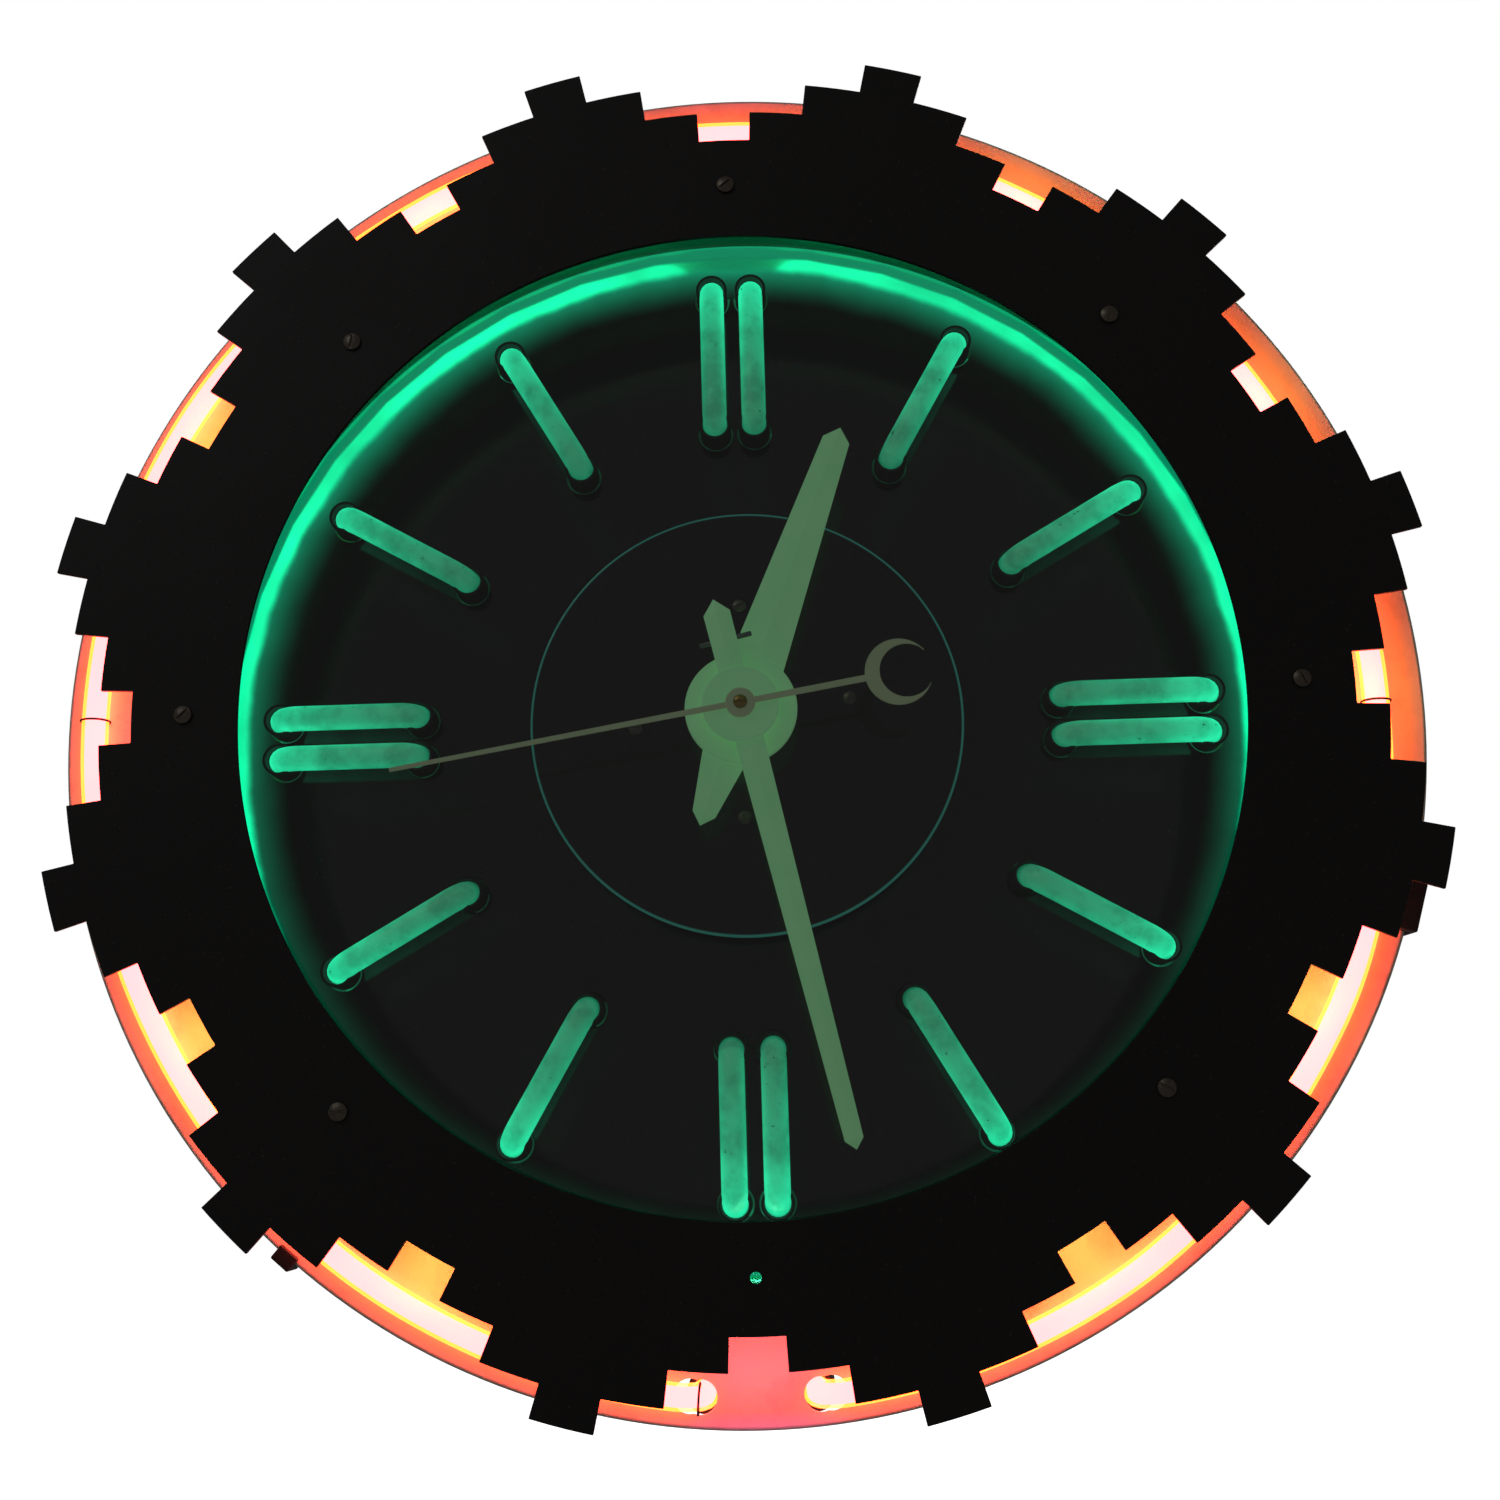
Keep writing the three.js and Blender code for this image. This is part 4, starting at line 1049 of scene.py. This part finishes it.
# The disc's four screws sit on a circle of their own, a little above the arbor.
DISC_SCREW_CIRCLE_R, DISC_SCREW_LIFT = 56.4, 5.2
disc_screw_places = []
for angle in (0, 85, 180, 262):
    x, up = flat_place(DISC_SCREW_CIRCLE_R, angle)
    disc_screw_places.append((x, up + DISC_SCREW_LIFT))
disc = turned(
    [(13.5, DISC_DEPTH), (DISC_R - 0.8, DISC_DEPTH), (DISC_R - 0.24, DISC_DEPTH + 0.24),
     (DISC_R, DISC_DEPTH + 0.8), (DISC_R, DISC_DEPTH + 2.5), (13.5, DISC_DEPTH + 2.5)], 240)
shift(disc, DISC_SHIFT, 0, 0)
add_piece("raised_centre_disc", disc, "black_glass", stands_for=["centre_disc"], finish="disc_glass")
SMALL_PAN_HEAD = (2.9, 3.6, 1.8, 2.0, 9)
for i, spot in enumerate(disc_screw_places):
    fit_screw(
        f"disc_fixing_screw_{i + 1}",
        SMALL_PAN_HEAD,
        spot,
        DISC_DEPTH - 0.3,
        -50 * i - 20,
        f"disc_screw_{i + 1}",
    )

# %% [markdown]
# ## Glass tubes
# A glass bender heats a straight tube and bends it over a pattern. So each tube here is a path with
# rounded corners, and a curve with a round bevel sweeps the tube along it. The curve becomes a mesh
# at once, because a finished piece is a mesh at the origin.

# %% Tube tools
TUBE_R = 6.6


def swept(points, radius, sides=12):
    """A closed tube of the given radius in millimetres along a path of points."""
    data = bpy.data.curves.new("path", "CURVE")
    data.dimensions = "3D"
    data.bevel_depth = radius * MM
    data.bevel_resolution = sides // 2
    data.use_fill_caps = True
    line = data.splines.new("POLY")
    line.points.add(len(points) - 1)
    for point, co in zip(line.points, points):
        point.co = (*co, 1)
    obj = bpy.data.objects.new("path", data)
    bpy.context.scene.collection.objects.link(obj)
    bpy.context.view_layer.update()
    shaped = obj.evaluated_get(bpy.context.evaluated_depsgraph_get())
    bm = bmesh.new()
    bm.from_mesh(shaped.to_mesh())
    bpy.data.objects.remove(obj)
    bpy.data.curves.remove(data)
    bmesh.ops.remove_doubles(bm, verts=bm.verts, dist=1e-6)
    bmesh.ops.recalc_face_normals(bm, faces=bm.faces)
    return bm


def rounded(corners, bend_r, steps=8):
    """A path through corners, each one rounded by an arc of the bend radius."""
    path = [corners[0]]
    for before, corner, after in zip(corners, corners[1:], corners[2:]):
        back = (before - corner).normalized()
        on = (after - corner).normalized()
        half = back.angle(on) / 2
        centre = corner + (back + on).normalized() * (bend_r * MM / math.sin(half))
        start = corner + back * (bend_r * MM / math.tan(half)) - centre
        end = corner + on * (bend_r * MM / math.tan(half)) - centre
        axis = start.cross(end).normalized()
        sweep = start.angle(end)
        for k in range(steps + 1):
            path.append(centre + Matrix.Rotation(sweep * k / steps, 3, axis) @ start)
    path.append(corners[-1])
    return path


def ring_path(ring, steps=300):
    """A ring that is open at one clock angle, where both ends turn back behind it."""
    bend_r = ring["bend"]
    bend = math.degrees(bend_r / ring_radius(ring, ring["gap"]))
    first = ring["gap"] + ring["half_gap"]
    last = ring["gap"] + 360 - ring["half_gap"]

    def on_ring(angle, depth):
        return at(ring_radius(ring, angle), angle, depth)

    path = [on_ring(first, ring["leg"])]
    bends = [(bend * (1 - math.cos(math.radians(t))), 1 - math.sin(math.radians(t)))
             for t in range(0, 90, 10)]
    for lead, drop in bends:
        path.append(on_ring(first + lead, ring["depth"] + bend_r * drop))
    span = last - first - 2 * bend
    for i in range(steps + 1):
        path.append(on_ring(first + bend + span * i / steps, ring["depth"]))
    for lead, drop in reversed(bends):
        path.append(on_ring(last - lead, ring["depth"] + bend_r * drop))
    path.append(on_ring(last, ring["leg"]))
    return path


# %% [markdown]
# ## The neon rings
# The red ring hides behind the teeth and shows in the notches. It was bent by hand and is not quite
# round. Its two ends turn back through the dish at six o'clock into rubber boots. The green ring
# lies behind the dial's frosted margin, with its ends turned back at twelve.

# %% Rings
add_piece("red_neon_glass", swept(ring_path(RED_RING), TUBE_R, 14), "red_neon_tube",
          stands_for=["red_ring_tube"])
add_piece("red_neon_core", swept(ring_path(RED_RING), TUBE_R - 1.7, 10), "red_neon_tube",
          finish="neon_gas")
add_piece("green_neon_glass", swept(ring_path(GREEN_RING), TUBE_R, 14), "green_neon_tube",
          stands_for=["green_ring_tube"])
for name, side in (("left", 1), ("right", -1)):
    mouth = RED_RING["depth"] + RED_RING["bend"] + 2
    leg = RED_RING["leg"] + 1
    boot = turned(
        [
            (0, mouth + 52), (6.2, mouth + 52), (7, mouth + 51), (8.6, mouth + 43),
            (9.5, mouth + 40), (9.5, mouth + 0.8), (8.9, mouth), (TUBE_R + 0.6, mouth),
            (TUBE_R + 0.6, leg), (0, leg),
        ],
        48,
        closed=False,
    )
    leg_angle = RED_RING["gap"] + side * RED_RING["half_gap"]
    spot = at(ring_radius(RED_RING, leg_angle), leg_angle, 0)
    bmesh.ops.translate(boot, verts=boot.verts, vec=(spot.x, 0, spot.z))
    add_piece(f"electrode_boot_{name}", boot, "rubber", stands_for=[f"red_electrode_boot_{name}"])

# %% [markdown]
# ## Ties
# Three turns of thin black wire are wound round the red tube. Each is a loop swept round it. The
# loop starts behind the tube, so that its two ends meet out of sight.

# %% Ties
TIE_ANGLES = (271, 91, 185)
TIE_R = 7.2
TIE_WIRE_R = 0.55
TIE_STEPS = 24
TIE_GAP = 0.3
for number, angle in enumerate(TIE_ANGLES, 1):
    middle = ring_radius(RED_RING, angle)
    loop = []
    for step in range(TIE_STEPS + 1):
        turn = math.tau * step / (TIE_STEPS + TIE_GAP)
        out, back = TIE_R * math.sin(turn), TIE_R * math.cos(turn)
        loop.append(at(middle + out, angle, RED_RING["depth"] + back))
    add_piece(f"tube_tie_{number}", swept(loop, TIE_WIRE_R, 6), "rubber")

# %% [markdown]
# ## Hour markers
# Each quarter of the dial has one length of tube, bent to and fro: a marker runs along the dial,
# dives through its hole and comes up at the next one. Twelve, three, six and nine have two.

# %% Markers
LINK_DEPTH = 92
MARKER_LEG = 98
MARKER_BEND_R = 10
for quarter, hours in enumerate(("12_to_2", "3_to_5", "6_to_8", "9_to_11")):
    corners = []
    for i, marker in enumerate(quarter_markers(quarter)):
        ends = marker[2:] if i % 2 == 0 else marker[:1:-1]
        first = MARKER_LEG if i == 0 else LINK_DEPTH
        final = MARKER_LEG if i == 3 else LINK_DEPTH
        corners.append(marker_place(ends[0], marker, first))
        corners.append(marker_place(ends[0], marker, MARKER_DEPTH))
        corners.append(marker_place(ends[1], marker, MARKER_DEPTH))
        corners.append(marker_place(ends[1], marker, final))
    bm = swept(rounded(corners, MARKER_BEND_R, 10), TUBE_R, 14)
    add_piece(f"marker_glass_{hours}", bm, "marker_tube", stands_for=[f"marker_tubes_{hours}"])

# %% [markdown]
# ## Sleeves
# Where a marker's end turns back towards the dial, a short black rubber sleeve grips its leg. From
# the front it is a thin dark ring round the bright end. All the sleeves are one moulding repeated.

# %% Sleeves
SLEEVE_TOP = 63.5
sleeves = []
for x, up in leg_places:
    sleeve = turned(
        [(6.9, SLEEVE_TOP + 0.4), (7.3, SLEEVE_TOP), (8.1, SLEEVE_TOP), (8.5, SLEEVE_TOP + 0.4),
         (8.5, DIAL_DEPTH + 2), (6.9, DIAL_DEPTH + 2)], 32)
    shift(sleeve, x, 0, up)
    sleeves.append(sleeve)
add_piece("marker_leg_sleeves", joined(*sleeves), "rubber")

# %% [markdown]
# ## Hands
# Hour and minute hand are folded from sheet, so each has a sharp ridge down its middle and two
# flat facets that take the light differently. A facet pair is laid out as a few points, and its rim
# is pulled back to give the sheet its edge. The round hub is turned and sits over it.


# %% Hand tools
def folded_blade(stations, tip, depth, direction):
    """A pointed blade: stations of (along, half width), a ridge, and an edge 0.8 mm thick."""
    edge = depth - 0.8
    ridge = depth - 2.4
    bm = bmesh.new()
    rows = []
    for along, half in stations:
        rows.append([
            bm.verts.new(at(direction * along, 0, edge) + Vector((-half * MM, 0, 0))),
            bm.verts.new(at(direction * along, 0, ridge)),
            bm.verts.new(at(direction * along, 0, edge) + Vector((half * MM, 0, 0))),
        ])
    point = bm.verts.new(at(direction * tip, 0, edge))
    for near, far in zip(rows, rows[1:]):
        bm.faces.new((near[0], near[1], far[1], far[0]))
        bm.faces.new((near[1], near[2], far[2], far[1]))
    bm.faces.new((rows[-1][0], rows[-1][1], point))
    bm.faces.new((rows[-1][1], rows[-1][2], point))
    bmesh.ops.recalc_face_normals(bm, faces=bm.faces)
    rim = [e for e in bm.edges if e.is_boundary]
    grown = bmesh.ops.extrude_edge_only(bm, edges=rim)
    moved = [g for g in grown["geom"] if isinstance(g, bmesh.types.BMVert)]
    for vert in moved:
        vert.co.y = FRONT + depth * MM
    bmesh.ops.holes_fill(bm, edges=[e for e in bm.edges if e.is_boundary])
    bmesh.ops.recalc_face_normals(bm, faces=bm.faces)
    return bm


def hub_disc(radius, front, back, bore):
    """A round hub with an eased rim."""
    return turned(
        [(bore, front), (radius - 0.7, front), (radius - 0.2, front + 0.25), (radius, front + 0.8),
         (radius, back), (bore, back)], 96)


def add_hand(name, spec, body, cad_node):
    """Builds a hand from its measures and turns it to the angle it rests at."""
    shape = joined(
        folded_blade(spec["blade"], spec["tip"], spec["depth"], 1),
        folded_blade(spec["tail"], spec["tail_tip"], spec["depth"], -1),
        hub_disc(spec["hub"], spec["hub_front"], spec["depth"], spec["bore"]),
    )
    shape.transform(clockwise(spec["angle"]))
    add_piece(name, shape, "hand_paint", body, [cad_node], smooth_below=8)


# %% Hands
HOUR = {
    "angle": 20.6, "blade": [(18, 14.4), (152, 7.2)], "tip": 159, "tail": [(18, 12.9), (57, 6)],
    "tail_tip": 63, "hub": 28.5, "hub_front": 24.8, "depth": 28.4, "bore": 7.3,
}
MINUTE = {
    "angle": 167.3, "blade": [(10, 7.4), (219.4, 4.6)], "tip": 224.4,
    "tail": [(10, 6.6), (49, 6.9)], "tail_tip": 56.5, "hub": 19.3, "hub_front": 15,
    "depth": 18.6, "bore": 4.8,
}
add_hand("hour_hand_painted", HOUR, "hour_train", "hour_hand")
add_hand("minute_hand_painted", MINUTE, "minute_train", "minute_hand")

TAIL_ROD_R, TAIL_ROD_HALF = 1.3, 13.5
tail_rod = rod(TAIL_ROD_R, -TAIL_ROD_HALF, TAIL_ROD_HALF, segments=24)
soften(tail_rod, 0.3, segments=2, sharper_than=60)
upright = Matrix.Rotation(math.radians(90), 4, "Z")
tail_rod.transform(
    clockwise(MINUTE["angle"])
    @ Matrix.Translation((-1 * MM, FRONT + (MINUTE["depth"] + 1.6) * MM, -35 * MM))
    @ upright
    @ Matrix.Translation((0, -FRONT, 0))
)
add_piece("minute_tail_pin", tail_rod, "die_cast_zinc", "minute_train", ["minute_tail_rod"])

# %% [markdown]
# ## Second hand
# The sweep hand is a thin stem with a round boss and, as its counterweight, a crescent moon. The
# moon is a disc with a smaller disc taken out of it.

# %% Second hand
SECOND_DEPTH = 13.4
SECOND_ANGLE = 260.7
SECOND_T = 0.8
MOON_R, MOON_UP = 17, -80.5
BITE_R, BITE_UP = 13.6, -84.6
STEM_TAIL, STEM_TIP = -65.5, 177.4
STEM_W, STEM_TIP_W = 3.4, 2.2
moon = carve(
    rod(MOON_R, SECOND_DEPTH - SECOND_T, SECOND_DEPTH, (0, MOON_UP), 96),
    [rod(BITE_R, SECOND_DEPTH - 5, SECOND_DEPTH + 5, (0, BITE_UP), 96)],
)
soften(moon, 0.2, segments=2, sharper_than=60)
stem_size = (STEM_W * MM, SECOND_T * MM, (STEM_TIP - STEM_TAIL) * MM)
stem_middle = (0, FRONT + (SECOND_DEPTH - SECOND_T / 2) * MM, (STEM_TIP + STEM_TAIL) / 2 * MM)
stem = block(stem_size, stem_middle)
for vert in stem.verts:
    if vert.co.z > 0:
        vert.co.x *= STEM_TIP_W / STEM_W
soften(stem, 0.2, segments=2, sharper_than=60)
boss = turned(
    [(1.9, SECOND_DEPTH - 2), (6.3, SECOND_DEPTH - 2), (7.2, SECOND_DEPTH - 1.6),
     (7.5, SECOND_DEPTH - 0.8), (7.5, SECOND_DEPTH + 0.8), (1.9, SECOND_DEPTH + 0.8)], 64)
sweep_hand = joined(moon, stem, boss)
sweep_hand.transform(clockwise(SECOND_ANGLE))
add_piece("second_hand_painted", sweep_hand, "hand_paint", "second_train", ["second_hand"],
          finish="second_hand_paint")

cap = slotted_screw(2.9, 3.5, 1.5, 3.2, 0.0001, slot=0.7)
shift(cap, 0, SECOND_DEPTH - 2.3, 0)
add_piece("second_hand_screw", cap, "brass", "second_train", ["hand_screw"])

# %% [markdown]
# ## What stays as it is
# The movement, the transformers and the pillars are hidden inside, and their CAD shapes are right.
# They only need their finishes.

# %% CAD finishes
slots = {entry["node"]: entry["material_slot"] for entry in frame["record"]["subparts"]}
for node_name, obj in frame["nodes"].items():
    obj.data.materials.clear()
    obj.data.materials.append(finishes[slots[node_name]])
print(len(frame["nodes"]), "CAD nodes have finishes")

# %% [markdown]
# ## Floor
# A plain white floor well below the clock. Like the card behind, it is seen but throws no light up.

# %% Floor
floor_shape = bmesh.new()
bmesh.ops.create_grid(floor_shape, x_segments=1, y_segments=1, size=6)
bmesh.ops.translate(floor_shape, verts=floor_shape.verts, vec=(0, 0, -0.62))
floor = to_object("floor", floor_shape)
finish, tree, place = new_finish("white_floor_paper")
fibre = add_node(tree, "TexNoise", {"Vector": place, "Scale": 900})
tone = add_node(tree, "Mix", {
    0: fibre, 6: linear("#FAFAFA"), 7: linear("#FFFFFF"),
}, data_type="RGBA", output=2)
paper = add_node(tree, "BsdfPrincipled", {
    "Base Color": tone, "Roughness": 0.9, "Emission Color": tone, "Emission Strength": 1.0,
})
add_node(tree, "OutputMaterial", {"Surface": paper})
floor.data.materials.append(finish)
floor.visible_diffuse = False
floor.visible_glossy = False
floor.visible_transmission = False
